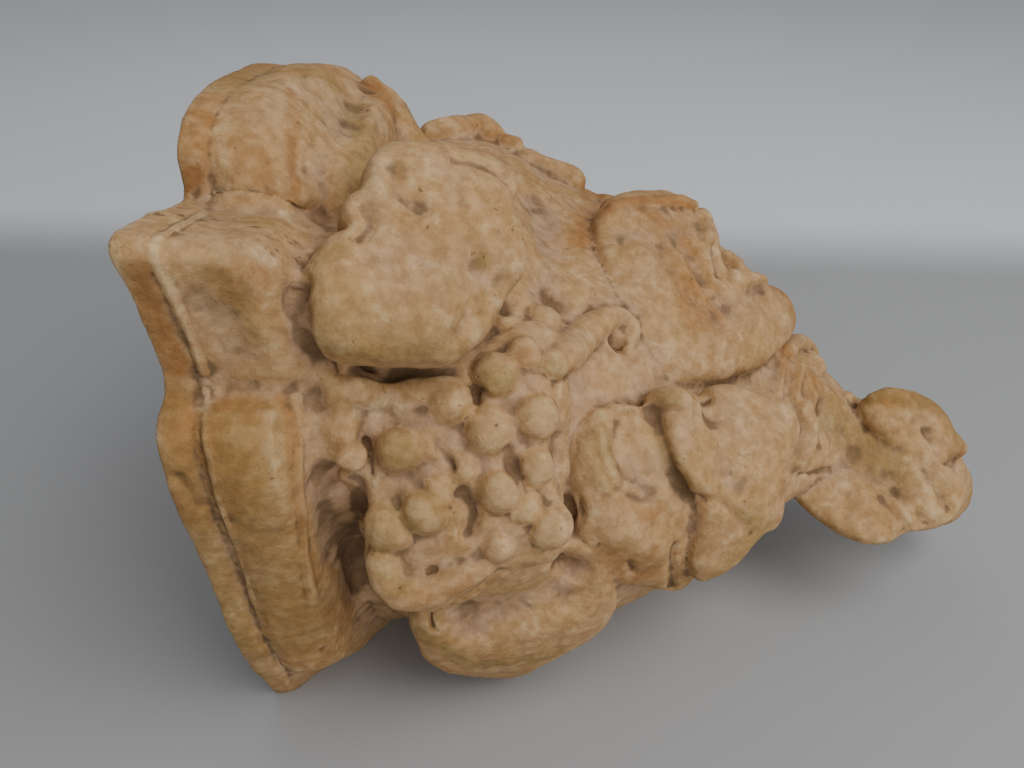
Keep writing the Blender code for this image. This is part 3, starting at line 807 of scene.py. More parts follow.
PALE_MARKS = tuple(Patch(*row) for row in (
    (26, 0.3, (925, 480, 945, 500, 915, 515)),
    (8, 0.36, (152, 246, 160, 270, 175, 300, 190, 335, 205, 372)),
    (9, 0.44, (122, 230, 150, 213, 190, 198)),
    (9, 0.39, (156, 243, 185, 225, 205, 215)),
    (18, 0.44, (170, 385, 205, 385, 206, 402)),
    (15, 0.44, (240, 243, 258, 256, 276, 264)),
    (18, 0.28, (212, 262, 240, 272, 262, 300)),
    (9, 0.55, (193, 160, 196, 155)),
    (8, 0.55, (283, 213, 288, 220)),
    (18, 0.33, (216, 90, 220, 140, 220, 190)),
    (15, 0.28, (228, 440, 240, 436)),
    (20, 0.5, (362, 408, 380, 405)),
    (14, 0.44, (355, 228, 368, 233)),
    (24, 0.28, (388, 160, 378, 190)),
    (30, 0.22, (470, 180, 500, 230, 495, 290, 470, 325)),
    (24, 0.33, (372, 412, 400, 410)),
    (33, 0.22, (632, 300, 655, 345, 690, 375)),
    (8, 0.35, (852, 455, 870, 468, 888, 480)),
    (5, 0.4, (206, 392, 207, 440, 219, 500, 250, 588, 288, 684)),
    (20, 0.3, (318, 400, 322, 470, 330, 540)),
    (30, 0.22, (690, 405, 745, 410)),
    (30, 0.19, (595, 430, 610, 480)),
    # painted highlight along the lower rim of the near leaf
    (12, 0.33, (460, 662, 500, 668, 540, 655)),
))
OLIVE_GROWTH_AND_SHADE = tuple(Patch(*row) for row in (
    (12, 0.8, (868, 398, 882, 393)),
    # partly painted shade: the dark trough of the tail leaf, besides its olive streak
    (34, 0.65, (834, 418, 852, 440, 872, 455, 890, 472)),
    (30, 0.55, (222, 86, 270, 72, 330, 80)),
    (20, 0.6, (900, 393, 940, 408, 960, 440)),
    (26, 0.4, (222, 215, 262, 222)),
    (40, 0.35, (215, 280, 245, 330)),
    # this row and the next: partly painted shade on the cap's near lobe, besides its olive growth
    (60, 0.45, (235, 430, 250, 500, 275, 580, 295, 640)),
    (24, 0.5, (176, 400, 185, 480, 215, 570, 255, 660)),
    (40, 0.35, (330, 310, 360, 335, 420, 340)),
    (22, 0.85, (494, 378, 500, 384)),
    (26, 0.85, (396, 448, 402, 458)),
    (34, 0.55, (400, 512, 420, 520)),
    (16, 0.6, (556, 368)),
    # painted shade at the inner edge of the cap's upper lobe, copied to the far side
    (20, 0.7, (355, 110, 366, 150, 358, 185), True),
    # this row and the next: partly painted shade on the cap's near lobe, besides its olive growth
    (30, 0.4, (255, 470, 270, 540)),
    (16, 0.5, (215, 560, 245, 640, 265, 680)),
    (26, 0.55, (318, 320, 345, 348, 400, 355, 450, 350), True),
    (16, 0.45, (310, 270, 340, 245)),
    (14, 0.9, (482, 262)),
    (14, 0.4, (450, 275, 455, 300)),
    (26, 0.5, (380, 535, 398, 580)),
    (20, 0.5, (690, 578, 740, 555, 765, 525)),
    (18, 0.55, (425, 635, 480, 665, 560, 650)),
    (10, 0.9, (798, 354)),
    # this row and the next: painted shade along the left lobe and edge of the side leaf
    (14, 0.6, (660, 400, 676, 392)),
    (14, 0.6, (660, 430, 672, 460, 690, 485)),
    (12, 0.7, (745, 512, 765, 525)),
    (24, 0.4, (604, 430, 608, 470)),
))
PITTED = tuple(Patch(*row) for row in (
    (44, 1.0, (170, 215, 240, 225, 285, 250)),
    (16, 1.0, (130, 240, 145, 250, 150, 285)),
    (18, 1.0, (478, 260, 490, 268)),
    (12, 0.9, (535, 312, 548, 305)),
    (16, 0.9, (285, 102, 305, 130)),
    (20, 0.7, (365, 110, 385, 130)),
    (20, 0.7, (470, 380, 440, 385)),
    (26, 0.5, (690, 455, 740, 470)),
))
PATCHES = {Tint.STAIN_AND_SHADE: STAINS_AND_SHADE, Tint.PALE: PALE_MARKS, Tint.OLIVE: OLIVE_GROWTH_AND_SHADE, Tint.PITS: PITTED}


@dataclass(frozen=True)
class CorbelClay:
    """The whole casting: its forms fused, worked with strokes, thinned and cut flat at the wall.

    Unevenness holds the cell, seed and height of each noise. Relief marks hold the name of an
    attribute, the rounds that draw the points together before it is read, and its full height.
    """

    view: ViewCamera
    body: CorbelBody
    cap: MouldedCap
    leaves: tuple[VineLeaf, ...]
    name: str = "corbel_clay"
    grain: float = 0.0014
    smoothing: float = 0.5
    smoothing_rounds: int = 2
    triangle_limit: int = 188000
    far_grape_lift: float = 0.5
    far_stroke_depth: float = 0.8
    facing_gain: float = 1.6
    stroke_steps: int = 4
    patch_steps: int = 3
    cut_margin: float = 1e-6
    unevenness: tuple[tuple[float, int, float], ...] = (
        (0.022, 3, 0.0011), (0.009, 5, 0.0006), (0.004, 7, 0.00022))
    relief_marks: tuple[tuple[str, int, float], ...] = (
        ("crease", 5, 0.0006), ("hollow", 60, 0.004))

    def small_forms(self, surface: ClaySurface) -> list[Shell]:
        """Grapes and rolls set down on the ground forms, with plainer copies on the far side.

        Args:
            surface: Skin of the ground forms.

        Returns:
            The shells.
        """
        shells = []
        places, normals = surface.place(np.array([(grape.x, grape.y) for grape in GRAPES]))
        scale = self.view.depth(places) / self.view.focal_px
        radii = np.array([grape.radius for grape in GRAPES]) * scale
        far, far_normals = surface.opposite(places)
        for k, (grape, radius) in enumerate(zip(GRAPES, radii)):
            far_lift = far_normals[k] * radius * grape.lift * self.far_grape_lift
            shells.append(ball(places[k] + normals[k] * radius * grape.lift, radius))
            shells.append(ball(far[k] + far_lift, radius))
        for roll in ROLLS:
            rows = np.reshape(roll.path, (-1, 3))
            places, normals = surface.place(rows[:, :2])
            radii = rows[:, 2] * self.view.depth(places) / self.view.focal_px
            sides = [(places, normals)] + ([surface.opposite(places)] if roll.far_side else [])
            for spots, outs in sides:
                centres = spots + outs * (radii * roll.lift)[:, None]
                steps = len(rows) * STEPS_PER_POINT
                sizes = smooth_path(radii[:, None], steps)[:, 0]
                shells.append(stem(smooth_path(centres, steps), sizes, outs.mean(0) + STEM_LEAN))
        return shells

    def crests(self) -> list[Shell]:
        """Forms that stand on the corbel's outline, placed on the body."""
        shells = []
        for crest in CRESTS:
            share, angle, lift, radius = np.reshape(crest.rows, (-1, 4)).T
            lift = lift * MILLIMETRE
            places = np.array([self.body.point(*row) for row in zip(share, angle, lift)])
            steps = len(places) * STEPS_PER_POINT
            radii = smooth_path(radius[:, None] * MILLIMETRE, steps)[:, 0]
            shells.append(stem(smooth_path(places, steps), radii, np.array(CREST_LEAN)))
        return shells

    @staticmethod
    def join(shells: Sequence[Shell]) -> Shell:
        """All shells as one, their point numbers moved on."""
        starts = np.cumsum([0] + [len(shell.points) for shell in shells])
        faces = []
        for start, shell in zip(starts, shells):
            faces += [tuple(int(k) + int(start) for k in face) for face in shell.faces]
        return Shell(np.concatenate([shell.points for shell in shells]), faces)

    @staticmethod
    def modified(mesh: bpy.types.Mesh, modifiers: dict[str, dict[str, object]]) -> bpy.types.Mesh:
        """A mesh as modifiers leave it.

        Args:
            mesh: Mesh to work on, which stays as it is.
            modifiers: Settings of each kind of modifier, in order.

        Returns:
            The new mesh.
        """
        holder = placed("held_clay", mesh)
        for kind, settings in modifiers.items():
            modifier = holder.modifiers.new(kind.lower(), kind)
            for name, value in settings.items():
                setattr(modifier, name, value)
        bpy.context.view_layer.update()
        seen = holder.evaluated_get(bpy.context.evaluated_depsgraph_get())
        done = bpy.data.meshes.new_from_object(seen)
        bpy.data.objects.remove(holder, do_unlink=True)
        return done

    def fuse(self, shell: Shell) -> bpy.types.Mesh:
        """One skin round all forms, softened.

        Args:
            shell: The joined forms.

        Returns:
            The fused mesh, its largest shell alone.
        """
        raw = bpy.data.meshes.new("forms")
        raw.from_pydata(shell.points.tolist(), [], shell.faces)
        fused = self.modified(raw, {
            "REMESH": {"mode": "VOXEL", "voxel_size": self.grain},
            "SMOOTH": {"factor": self.smoothing, "iterations": self.smoothing_rounds},
        })
        self.keep_largest(fused)
        return fused

    @staticmethod
    def edge_ends(mesh: bpy.types.Mesh) -> np.ndarray:
        """Rows of the two point numbers of each edge."""
        ends = np.zeros(len(mesh.edges) * 2, np.int32)
        mesh.edges.foreach_get("vertices", ends)
        return ends.reshape(-1, 2)

    def keep_largest(self, mesh: bpy.types.Mesh) -> None:
        """Delete every shell but the largest, by handing the lowest point number along edges."""
        a, b = self.edge_ends(mesh).T
        label = np.arange(len(mesh.vertices))
        while True:
            low = np.minimum(label[a], label[b])
            new = label.copy()
            for ahead in (label[a], label[b], a, b):
                np.minimum.at(new, ahead, low)
            new = new[new]
            if (new == label).all():
                break
            label = new
        values, counts = np.unique(label, return_counts=True)
        keep = label == values[counts.argmax()]
        if keep.all():
            return
        shape = bmesh.new()
        shape.from_mesh(mesh)
        shape.verts.ensure_lookup_table()
        lost = [shape.verts[int(k)] for k in np.flatnonzero(~keep)]
        bmesh.ops.delete(shape, geom=lost, context="VERTS")
        shape.to_mesh(mesh)
        shape.free()

    @staticmethod
    def arrays(mesh: bpy.types.Mesh) -> tuple[np.ndarray, np.ndarray]:
        """Points and normals of a mesh."""
        points = np.zeros(len(mesh.vertices) * 3, np.float32)
        normals = np.zeros(len(mesh.vertices) * 3, np.float32)
        mesh.vertices.foreach_get("co", points)
        mesh.vertices.foreach_get("normal", normals)
        return points.reshape(-1, 3).astype(float), normals.reshape(-1, 3).astype(float)

    @staticmethod
    def store(mesh: bpy.types.Mesh, points: np.ndarray) -> None:
        """Put moved points back into a mesh."""
        mesh.vertices.foreach_set("co", points.astype(np.float32).ravel())
        mesh.update()

    def skin(self, mesh: bpy.types.Mesh, points: np.ndarray) -> ClaySurface:
        """The mesh as a surface that lines of sight can be met with."""
        faces = [tuple(face.vertices) for face in mesh.polygons]
        return ClaySurface(points, faces, self.view, self.body)

    @staticmethod
    def nearness(points: np.ndarray, path: np.ndarray, width: float
                 ) -> tuple[np.ndarray, np.ndarray]:
        """Distance to a path as a share of the width, for the points within it.

        Args:
            points: All points.
            path: Rows of the path.
            width: Reach of the stroke.

        Returns:
            Numbers of the points within reach, and their share of the width.
        """
        low, high = path.min(0) - width, path.max(0) + width
        near = np.flatnonzero(((points > low) & (points < high)).all(1))
        close = np.full(len(near), np.inf)
        starts, ends = (path, path) if len(path) == 1 else (path[:-1], path[1:])
        for start, end in zip(starts, ends):
            span = end - start
            t = np.clip((points[near] - start) @ span / (span @ span + TINY), 0, 1)
            away = np.linalg.norm(points[near] - start - t[:, None] * span, axis=1)
            close = np.minimum(close, away)
        inside = close < width
        return near[inside], close[inside] / width

    def traced(self, surface: ClaySurface, points: np.ndarray, mark: Stroke | Patch, steps_each: int
               ) -> Iterator[tuple[np.ndarray, np.ndarray, np.ndarray, bool]]:
        """Clay within reach of a stroke or a patch, on the near side and then on the far one.

        Args:
            surface: Skin of the clay.
            points: The clay's points.
            mark: Stroke or patch to trace.
            steps_each: Steps of the path for each of its given points.

        Yields:
            Numbers of the points, their share of the width, the way out of the clay there, and
            whether it is the far side.
        """
        places, outs = surface.place(mark.path)
        width = mark.width * float(self.view.depth(places).mean()) / self.view.focal_px
        sides = [(places, outs)] + ([surface.opposite(places)] if mark.far_side else [])
        for far, (spots, ways) in enumerate(sides):
            steps = 1 if len(spots) == 1 else len(spots) * steps_each
            near, ratio = self.nearness(points, smooth_path(spots, steps), width)
            yield near, ratio, ways.mean(0), bool(far)

    def work(self, mesh: bpy.types.Mesh) -> None:
        """Press or raise the clay along the strokes, most at the middle of each."""
        points, normals = self.arrays(mesh)
        surface = self.skin(mesh, points)
        shift = np.zeros(len(points))
        for stroke in STROKES:
            for near, ratio, out, far in self.traced(surface, points, stroke, self.stroke_steps):
                facing = np.clip(normals[near] @ out * self.facing_gain, 0, 1)
                inside = 1 - ratio**2
                fall = (1 - (1 - inside) ** stroke.work.value) * inside
                share = self.far_stroke_depth if far else 1.0
                shift[near] -= stroke.depth * MILLIMETRE * share * fall * facing
        self.store(mesh, points + normals * shift[:, None])

    def roughen(self, mesh: bpy.types.Mesh) -> None:
        """Hand-worked unevenness: smooth noise of several sizes along the normals."""
        points, normals = self.arrays(mesh)
        shift = sum(clay_noise(points, size, seed) * high for size, seed, high in self.unevenness)
        self.store(mesh, points + normals * shift[:, None])

    def cut(self, mesh: bpy.types.Mesh) -> None:
        """Cut the wall seat flat at Z = 0 and press the bearing end flat."""
        points, _ = self.arrays(mesh)
        points[:, 0] = np.maximum(points[:, 0], self.cap.end)
        self.store(mesh, points)
        shape = bmesh.new()
        shape.from_mesh(mesh)
        cut = bmesh.ops.bisect_plane(
            shape, geom=shape.verts[:] + shape.edges[:] + shape.faces[:], dist=self.cut_margin,
            plane_co=(0, 0, 0), plane_no=(0, 0, -1), clear_outer=True)
        rim = [item for item in cut["geom_cut"]
               if isinstance(item, bmesh.types.BMEdge) and item.is_boundary]
        filled = bmesh.ops.triangle_fill(shape, edges=rim, use_beauty=True, normal=(0, 0, -1))
        for item in filled["geom"]:
            if isinstance(item, bmesh.types.BMFace):
                item.smooth = False
        bmesh.ops.recalc_face_normals(shape, faces=shape.faces)
        shape.to_mesh(mesh)
        shape.free()

    @staticmethod
    def spread(points: np.ndarray, ends: np.ndarray, rounds: int) -> np.ndarray:
        """Points drawn half way to their neighbours' mean, a number of rounds."""
        a, b = ends.T
        count = len(points)
        degree = np.bincount(a, minlength=count) + np.bincount(b, minlength=count)
        degree = np.maximum(degree, 1)
        for _ in range(rounds):
            total = np.stack([
                np.bincount(a, points[b, k], count) + np.bincount(b, points[a, k], count)
                for k in range(3)], -1)
            points = (points + total / degree[:, None]) / 2
        return points

    def mark(self, mesh: bpy.types.Mesh) -> None:
        """Store on the points how hollow the clay is, finely and broadly, and its tints."""
        points, normals = self.arrays(mesh)
        ends = self.edge_ends(mesh)
        drawn = points
        for name, rounds, high in self.relief_marks:
            drawn = self.spread(drawn, ends, rounds)
            value = ((drawn - points) * normals).sum(1) / high
            layer = mesh.attributes.new(name, "FLOAT", "POINT")
            layer.data.foreach_set("value", np.clip(value, -1, 1).astype(np.float32))
        surface = self.skin(mesh, points)
        tints = np.zeros((len(points), len(Tint)))
        for tint, patches in PATCHES.items():
            for patch in patches:
                for near, ratio, _, _ in self.traced(surface, points, patch, self.patch_steps):
                    fall = (1 - ratio**2) * patch.strength
                    tints[near, tint.value] = np.maximum(tints[near, tint.value], fall)
        layer = mesh.attributes.new("tint", "FLOAT_COLOR", "POINT")
        layer.data.foreach_set("color", tints.astype(np.float32).ravel())

    def build(self) -> bpy.types.Object:
        """Model the casting.

        Returns:
            The finished piece at the origin.
        """
        shells = [self.cap.shell(), self.body.shell()]
        for leaf in self.leaves:
            shells += leaf.shells(self.body, self.view)
        ground = self.join(shells)
        surface = ClaySurface(ground.points, ground.faces, self.view, self.body)
        mesh = self.fuse(self.join([ground] + self.small_forms(surface) + self.crests()))
        LOG.info("fused clay: %d faces", len(mesh.polygons))
        self.work(mesh)
        self.roughen(mesh)
        share = min(1.0, self.triangle_limit / (2 * len(mesh.polygons)))
        mesh = self.modified(mesh, {"DECIMATE": {"ratio": share}})
        mesh.polygons.foreach_set("use_smooth", np.ones(len(mesh.polygons), bool))
        self.cut(mesh)
        self.mark(mesh)
        mesh.name = self.name
        return placed(self.name, mesh)


class Grain(NamedTuple):
    """Noise of a finish: cells to the metre, then detail, roughness and distortion."""

    scale: float
    detail: float
    roughness: float
    distortion: float = 0.0


class Band(NamedTuple):
    """Span of a value and the span that it is carried to."""

    low: float
    high: float
    to_low: float = 0.0
    to_high: float = 1.0


class NodeBench:
    """Short calls for placing and linking shader nodes in one node tree."""

    def __init__(self, tree: bpy.types.NodeTree) -> None:
        """Keep the tree."""
        self.tree = tree

    def add(self, kind: str, **settings: object) -> bpy.types.Node:
        """Place a node and set its properties."""
        node = self.tree.nodes.new(kind)
        for name, value in settings.items():
            setattr(node, name, value)
        return node

    def fill(self, node: bpy.types.Node, **values: object) -> bpy.types.Node:
        """Link or set inputs by name, with an underscore for each space."""
        for name, value in values.items():
            self.join(value, node.inputs[name.replace("_", " ")])
        return node

    def join(self, value: object, socket: bpy.types.NodeSocket) -> None:
        """Link a socket, or set a plain value, on another socket."""
        if isinstance(value, bpy.types.NodeSocket):
            self.tree.links.new(value, socket)
        elif isinstance(value, tuple) and len(value) == 3 and socket.type == "RGBA":
            socket.default_value = (*value, 1.0)
        else:
            socket.default_value = value

    def noise(self, vector: bpy.types.NodeSocket, grain: Grain) -> bpy.types.NodeSocket:
        """Noise value about 0.5."""
        return self.fill(
            self.add("ShaderNodeTexNoise"), Vector=vector, Scale=grain.scale, Detail=grain.detail,
            Roughness=grain.roughness, Distortion=grain.distortion).outputs["Fac"]

    def span(self, value: object, band: Band) -> bpy.types.NodeSocket:
        """Value carried smoothly from one span to another and held there."""
        return self.fill(
            self.add("ShaderNodeMapRange", interpolation_type="SMOOTHSTEP"), Value=value,
            From_Min=band.low, From_Max=band.high, To_Min=band.to_low, To_Max=band.to_high
        ).outputs["Result"]

    def math(self, operation: str, a: object, b: object) -> bpy.types.NodeSocket:
        """Plain operation on two values."""
        node = self.add("ShaderNodeMath", operation=operation)
        self.join(a, node.inputs[0])
        self.join(b, node.inputs[1])
        return node.outputs["Value"]

    def times(self, a: object, b: object) -> bpy.types.NodeSocket:
        """Product of two values."""
        return self.math("MULTIPLY", a, b)

    def plus(self, a: object, b: object) -> bpy.types.NodeSocket:
        """Sum of two values."""
        return self.math("ADD", a, b)

    def mix(self, factor: object, a: object, b: object, blend: str = "MIX") -> bpy.types.NodeSocket:
        """Blend of two colours."""
        node = self.add("ShaderNodeMix", data_type="RGBA", blend_type=blend)
        for value, k in ((factor, 0), (a, 6), (b, 7)):
            self.join(value, node.inputs[k])
        return node.outputs[2]


@dataclass(frozen=True)
class ClayFinish:
    """Unglazed fired clay: tan body, orange-brown stains, dust in the hollows, pores and growth,
    with painted shade and a painted highlight.
    """

    tan: Colour = (0.41, 0.252, 0.115)
    ochre: Colour = (0.345, 0.20, 0.082)
    orange: Colour = (0.27, 0.118, 0.034)
    cream: Colour = (0.56, 0.42, 0.245)
    dust: Colour = (0.375, 0.238, 0.140)
    # near black-brown: painted shade in the tight creases, and the dark of the pores and pits
    shade_and_pit_dark: Colour = (0.10, 0.06, 0.032)
    umber: Colour = (0.27, 0.15, 0.06)
    olive: Colour = (0.235, 0.158, 0.048)
    fleck_dark: Colour = (0.72, 0.68, 0.62)
    fleck_light: Colour = (1.24, 1.25, 1.28)
    grit_dark: Colour = (0.2, 0.2, 0.2)
    grit_light: Colour = (1.0, 1.0, 1.0)

    cloud: Grain = Grain(14.0, 5.0, 0.6, 0.4)
    blotch: Grain = Grain(38.0, 5.0, 0.62, 0.3)
    speck: Grain = Grain(260.0, 3.0, 0.6)
    grit: Grain = Grain(900.0, 2.0, 0.6)
    wash: Grain = Grain(85.0, 5.0, 0.68)
    fleck: Grain = Grain(170.0, 4.0, 0.65)
    stain_grain: Grain = Grain(75.0, 4.0, 0.65)
    rub_grain: Grain = Grain(120.0, 4.0, 0.7)
    pit_grain: Grain = Grain(190.0, 2.0, 0.5)

    cloud_tone: Band = Band(0.38, 0.62)
    wash_pale: Band = Band(0.54, 0.70, 0.0, 0.4)
    wash_dark: Band = Band(0.48, 0.32, 0.0, 0.5)
    stain_edge: Band = Band(0.52, 0.78)
    stain_spots: Band = Band(0.56, 0.74, 0.0, 0.5)
    stain_clouds: Band = Band(0.30, 0.55, 0.5, 1.0)
    raised: Band = Band(0.1, -0.5)
    raised_spots: Band = Band(0.42, 0.60)
    sunk: Band = Band(-0.15, 0.45)
    sunk_spots: Band = Band(0.55, 0.40, 0.0, 0.35)
    rubbed: Band = Band(0.55, 0.80)
    rubbed_specks: Band = Band(0.62, 0.75, 0.0, 0.3)
    olive_specks: Band = Band(0.22, 0.62, 0.35, 1.0)
    hollow_painted_shade: Band = Band(0.30, 0.95)
    worn: Band = Band(-0.3, -0.95)
    worn_spots: Band = Band(0.42, 0.58, 0.05, 0.3)
    crease_shade: Band = Band(0.12, 0.75)
    crease_shade_spots: Band = Band(0.35, 0.60, 0.5, 1.0)
    pore_specks: Band = Band(0.335, 0.27)
    pore_spots: Band = Band(0.45, 0.62)
    pits: Band = Band(0.38, 0.31)
    fleck_tone: Band = Band(0.34, 0.66)
    roughness: Band = Band(0.3, 0.7, 0.85, 0.98)

    tint_push: float = 0.5
    stain_power: float = 0.6
    stain_cover: float = 0.6
    pale_strength: float = 1.1
    edge_strength: float = 0.45
    dust_strength: float = 0.75
    hollow_painted_shade_strength: float = 0.5
    crease_shade_strength: float = 0.8
    pore_strength: float = 0.75
    fleck_strength: float = 0.5
    grit_strength: float = 0.10
    specular: float = 0.25
    bump: float = 0.42
    bump_height: float = 0.002
    speck_relief: float = 0.6
    relief: tuple[tuple[str, str, float], ...] = (
        ("ADD", "grit", 0.25), ("SUBTRACT", "pores", 0.8), ("ADD", "blotch", 0.5),
        ("ADD", "wash", 0.3), ("ADD", "fleck", 0.3))

    def colour(self, bench: NodeBench, place: bpy.types.NodeSocket,
               grains: dict[str, bpy.types.NodeSocket]
               ) -> tuple[bpy.types.NodeSocket, bpy.types.NodeSocket]:
        """Coats of colour laid over the tan body, each through its own mask.

        Args:
            bench: Bench of the material's tree.
            place: The clay's own coordinates.
            grains: Noise values by name.

        Returns:
            The colour, and the mask of the pores.
        """
        hollow, crease, tint = (bench.add("ShaderNodeAttribute", attribute_name=name)
                                for name in ("hollow", "crease", "tint"))
        hollow, crease, pitted = hollow.outputs["Fac"], crease.outputs["Fac"], tint.outputs["Alpha"]
        split = bench.add("ShaderNodeSeparateColor")
        bench.join(tint.outputs["Color"], split.inputs[0])
        stained_and_shaded, pale, grown_and_shaded = split.outputs[:3]
        cloud, blotch, speck, wash = (grains[name] for name in ("cloud", "blotch", "speck", "wash"))

        def pushed(grain: Grain, mask: bpy.types.NodeSocket, band: Band) -> bpy.types.NodeSocket:
            """Noise that comes through where a tint lifts it."""
            return bench.span(
                bench.plus(bench.noise(place, grain), bench.times(mask, self.tint_push)), band)

        stain_and_shade = bench.times(bench.math("POWER", stained_and_shaded, self.stain_power),
                            pushed(self.stain_grain, stained_and_shaded, self.stain_edge))
        stain_and_shade = bench.plus(stain_and_shade, bench.span(blotch, self.stain_spots))
        stain_and_shade = bench.times(stain_and_shade, bench.span(cloud, self.stain_clouds))
        clear = bench.math("SUBTRACT", 1.0, bench.times(stain_and_shade, self.stain_cover))
        edge = bench.times(bench.span(hollow, self.raised), bench.span(blotch, self.raised_spots))
        low = bench.plus(bench.span(hollow, self.sunk), bench.span(blotch, self.sunk_spots))
        rub_and_highlight = bench.times(pushed(self.rub_grain, pale, self.rubbed),
                          bench.times(pale, self.pale_strength))
        rub_and_highlight = bench.plus(rub_and_highlight, bench.span(speck, self.rubbed_specks))
        wear = bench.times(bench.span(crease, self.worn), bench.span(blotch, self.worn_spots))
        # painted shade: tight creases are darkened nearly to black-brown, broken up by the blotch
        # noise
        crease_shade = bench.times(bench.span(crease, self.crease_shade), bench.span(blotch, self.crease_shade_spots))
        pores = bench.times(bench.span(speck, self.pore_specks),
                            bench.span(blotch, self.pore_spots))
        deep_pits = bench.times(bench.span(bench.noise(place, self.pit_grain), self.pits), pitted)
        pores = bench.math("MAXIMUM", pores, deep_pits)
        colour = self.tan
        for mask, coat in (
            (bench.span(cloud, self.cloud_tone), self.ochre),
            (bench.span(wash, self.wash_pale), self.cream),
            (bench.span(wash, self.wash_dark), self.umber),
            # orange-brown stains, with some patches that are painted shade
            (stain_and_shade, self.orange),
            (bench.times(edge, self.edge_strength), self.ochre),
            (bench.times(bench.times(low, clear), self.dust_strength), self.dust),
            # cream rubbing from the pale marks, one of which is a painted rim highlight
            (bench.times(rub_and_highlight, clear), self.cream),
            # olive growth, with some patches that are painted shade
            (bench.times(grown_and_shaded, bench.span(speck, self.olive_specks)), self.olive),
            # painted shade: the broad hollows are darkened towards umber
            (bench.times(bench.span(hollow, self.hollow_painted_shade), self.hollow_painted_shade_strength), self.umber),
            (bench.times(wear, clear), self.cream),
            (bench.times(crease_shade, self.crease_shade_strength), self.shade_and_pit_dark),
            (bench.times(pores, self.pore_strength), self.shade_and_pit_dark),
        ):
            colour = bench.mix(mask, colour, coat)
        fleck = bench.span(grains["fleck"], self.fleck_tone)
        fleck = bench.mix(fleck, self.fleck_dark, self.fleck_light)
        grit = bench.mix(grains["grit"], self.grit_dark, self.grit_light)
        colour = bench.mix(self.fleck_strength, colour, fleck, "MULTIPLY")
        return bench.mix(self.grit_strength, colour, grit, "OVERLAY"), pores

    def build(self) -> bpy.types.Material:
        """Make the clay's material.

        Returns:
            The material.
        """
        material = bpy.data.materials.new("fired_clay_worked")
        material.use_nodes = True
        bench = NodeBench(material.node_tree)
        place = bench.add("ShaderNodeTexCoord").outputs["Object"]
        grains = {name: bench.noise(place, getattr(self, name))
                  for name in ("cloud", "blotch", "speck", "grit", "wash", "fleck")}
        colour, grains["pores"] = self.colour(bench, place, grains)
        height = bench.times(grains["speck"], self.speck_relief)
        for operation, name, share in self.relief:
            height = bench.math(operation, height, bench.times(grains[name], share))
        bump = bench.fill(bench.add("ShaderNodeBump"), Strength=self.bump,
                          Distance=self.bump_height, Height=height)
        bench.fill(
            material.node_tree.nodes["Principled BSDF"], Base_Color=colour,
            Specular_IOR_Level=self.specular, Normal=bump.outputs["Normal"],
            Roughness=bench.span(grains["blotch"], self.roughness))
        return material


@dataclass(frozen=True)
class SoftLight:
    """Square soft light that looks at the corbel's middle."""

    name: str
    place: tuple[float, float, float]
    size: float
    watts: float
    colour: Colour
    aim: tuple[float, float, float] = (0.0, 0.0, 0.1)

    def build(self) -> None:
        """Hang the light."""
        lamp = bpy.data.lights.new(self.name, "AREA")
        lamp.shape = "SQUARE"
        lamp.size = self.size
        lamp.energy = self.watts
        lamp.color = self.colour
        aim = (Vector(self.aim) - Vector(self.place)).to_track_quat("-Z", "Y")
        holder = placed(self.name, lamp)
        holder.matrix_world = Matrix.Translation(self.place) @ aim.to_matrix().to_4x4()


@dataclass(frozen=True)
class StudioFinish:
    """Pale floor painted lighter towards the back as painted backdrop light, soft key, back and
    front lights, and a little light from all round.
    """

    floor_tone: Colour = (0.335, 0.34, 0.348)
    far_painted_light_tone: Colour = (0.68, 0.705, 0.74)
    floor_half: float = 4.0
    far_band: Band = Band(0.42, 0.60)
    floor_roughness: float = 0.85
    floor_specular: float = 0.2
    room_tone: Colour = (0.95, 0.97, 1.0)
    room_strength: float = 0.37
    lights: tuple[SoftLight, ...] = (
        SoftLight("key_light", (0.85, -0.75, 1.55), 1.3, 27.0, (1.0, 0.985, 0.96)),
        SoftLight("back_light", (-0.4, 1.3, 1.5), 1.2, 3.0, (0.98, 0.99, 1.0)),
        SoftLight("front_light", (0.45, -1.4, 0.35), 1.2, 8.5, (1.0, 0.985, 0.96)),
    )

    def floor(self) -> bpy.types.Object:
        """Lay the floor.

        Returns:
            The floor object.
        """
        h = self.floor_half
        mesh = bpy.data.meshes.new("floor")
        mesh.from_pydata([(-h, -h, 0), (h, -h, 0), (h, h, 0), (-h, h, 0)], [], [(0, 1, 2, 3)])
        floor = placed("floor", mesh)
        material = bpy.data.materials.new("pale_floor")
        material.use_nodes = True
        bench = NodeBench(material.node_tree)
        split = bench.add("ShaderNodeSeparateXYZ")
        bench.join(bench.add("ShaderNodeTexCoord").outputs["Object"], split.inputs[0])
        # painted light: the floor is painted lighter towards the back
        away = bench.span(split.outputs["Y"], self.far_band)
        bench.fill(
            material.node_tree.nodes["Principled BSDF"],
            Base_Color=bench.mix(away, self.floor_tone, self.far_painted_light_tone),
            Roughness=self.floor_roughness, Specular_IOR_Level=self.floor_specular)
        mesh.materials.append(material)
        return floor

    def build(self) -> None:
        """Floor, lights and the light from all round."""
        self.floor()
        for light in self.lights:
            light.build()
        world = bpy.data.worlds.new("soft_room")
        world.use_nodes = True
        bench = NodeBench(world.node_tree)
        bench.fill(world.node_tree.nodes["Background"], Color=self.room_tone,
                   Strength=self.room_strength)
        bpy.context.scene.world = world


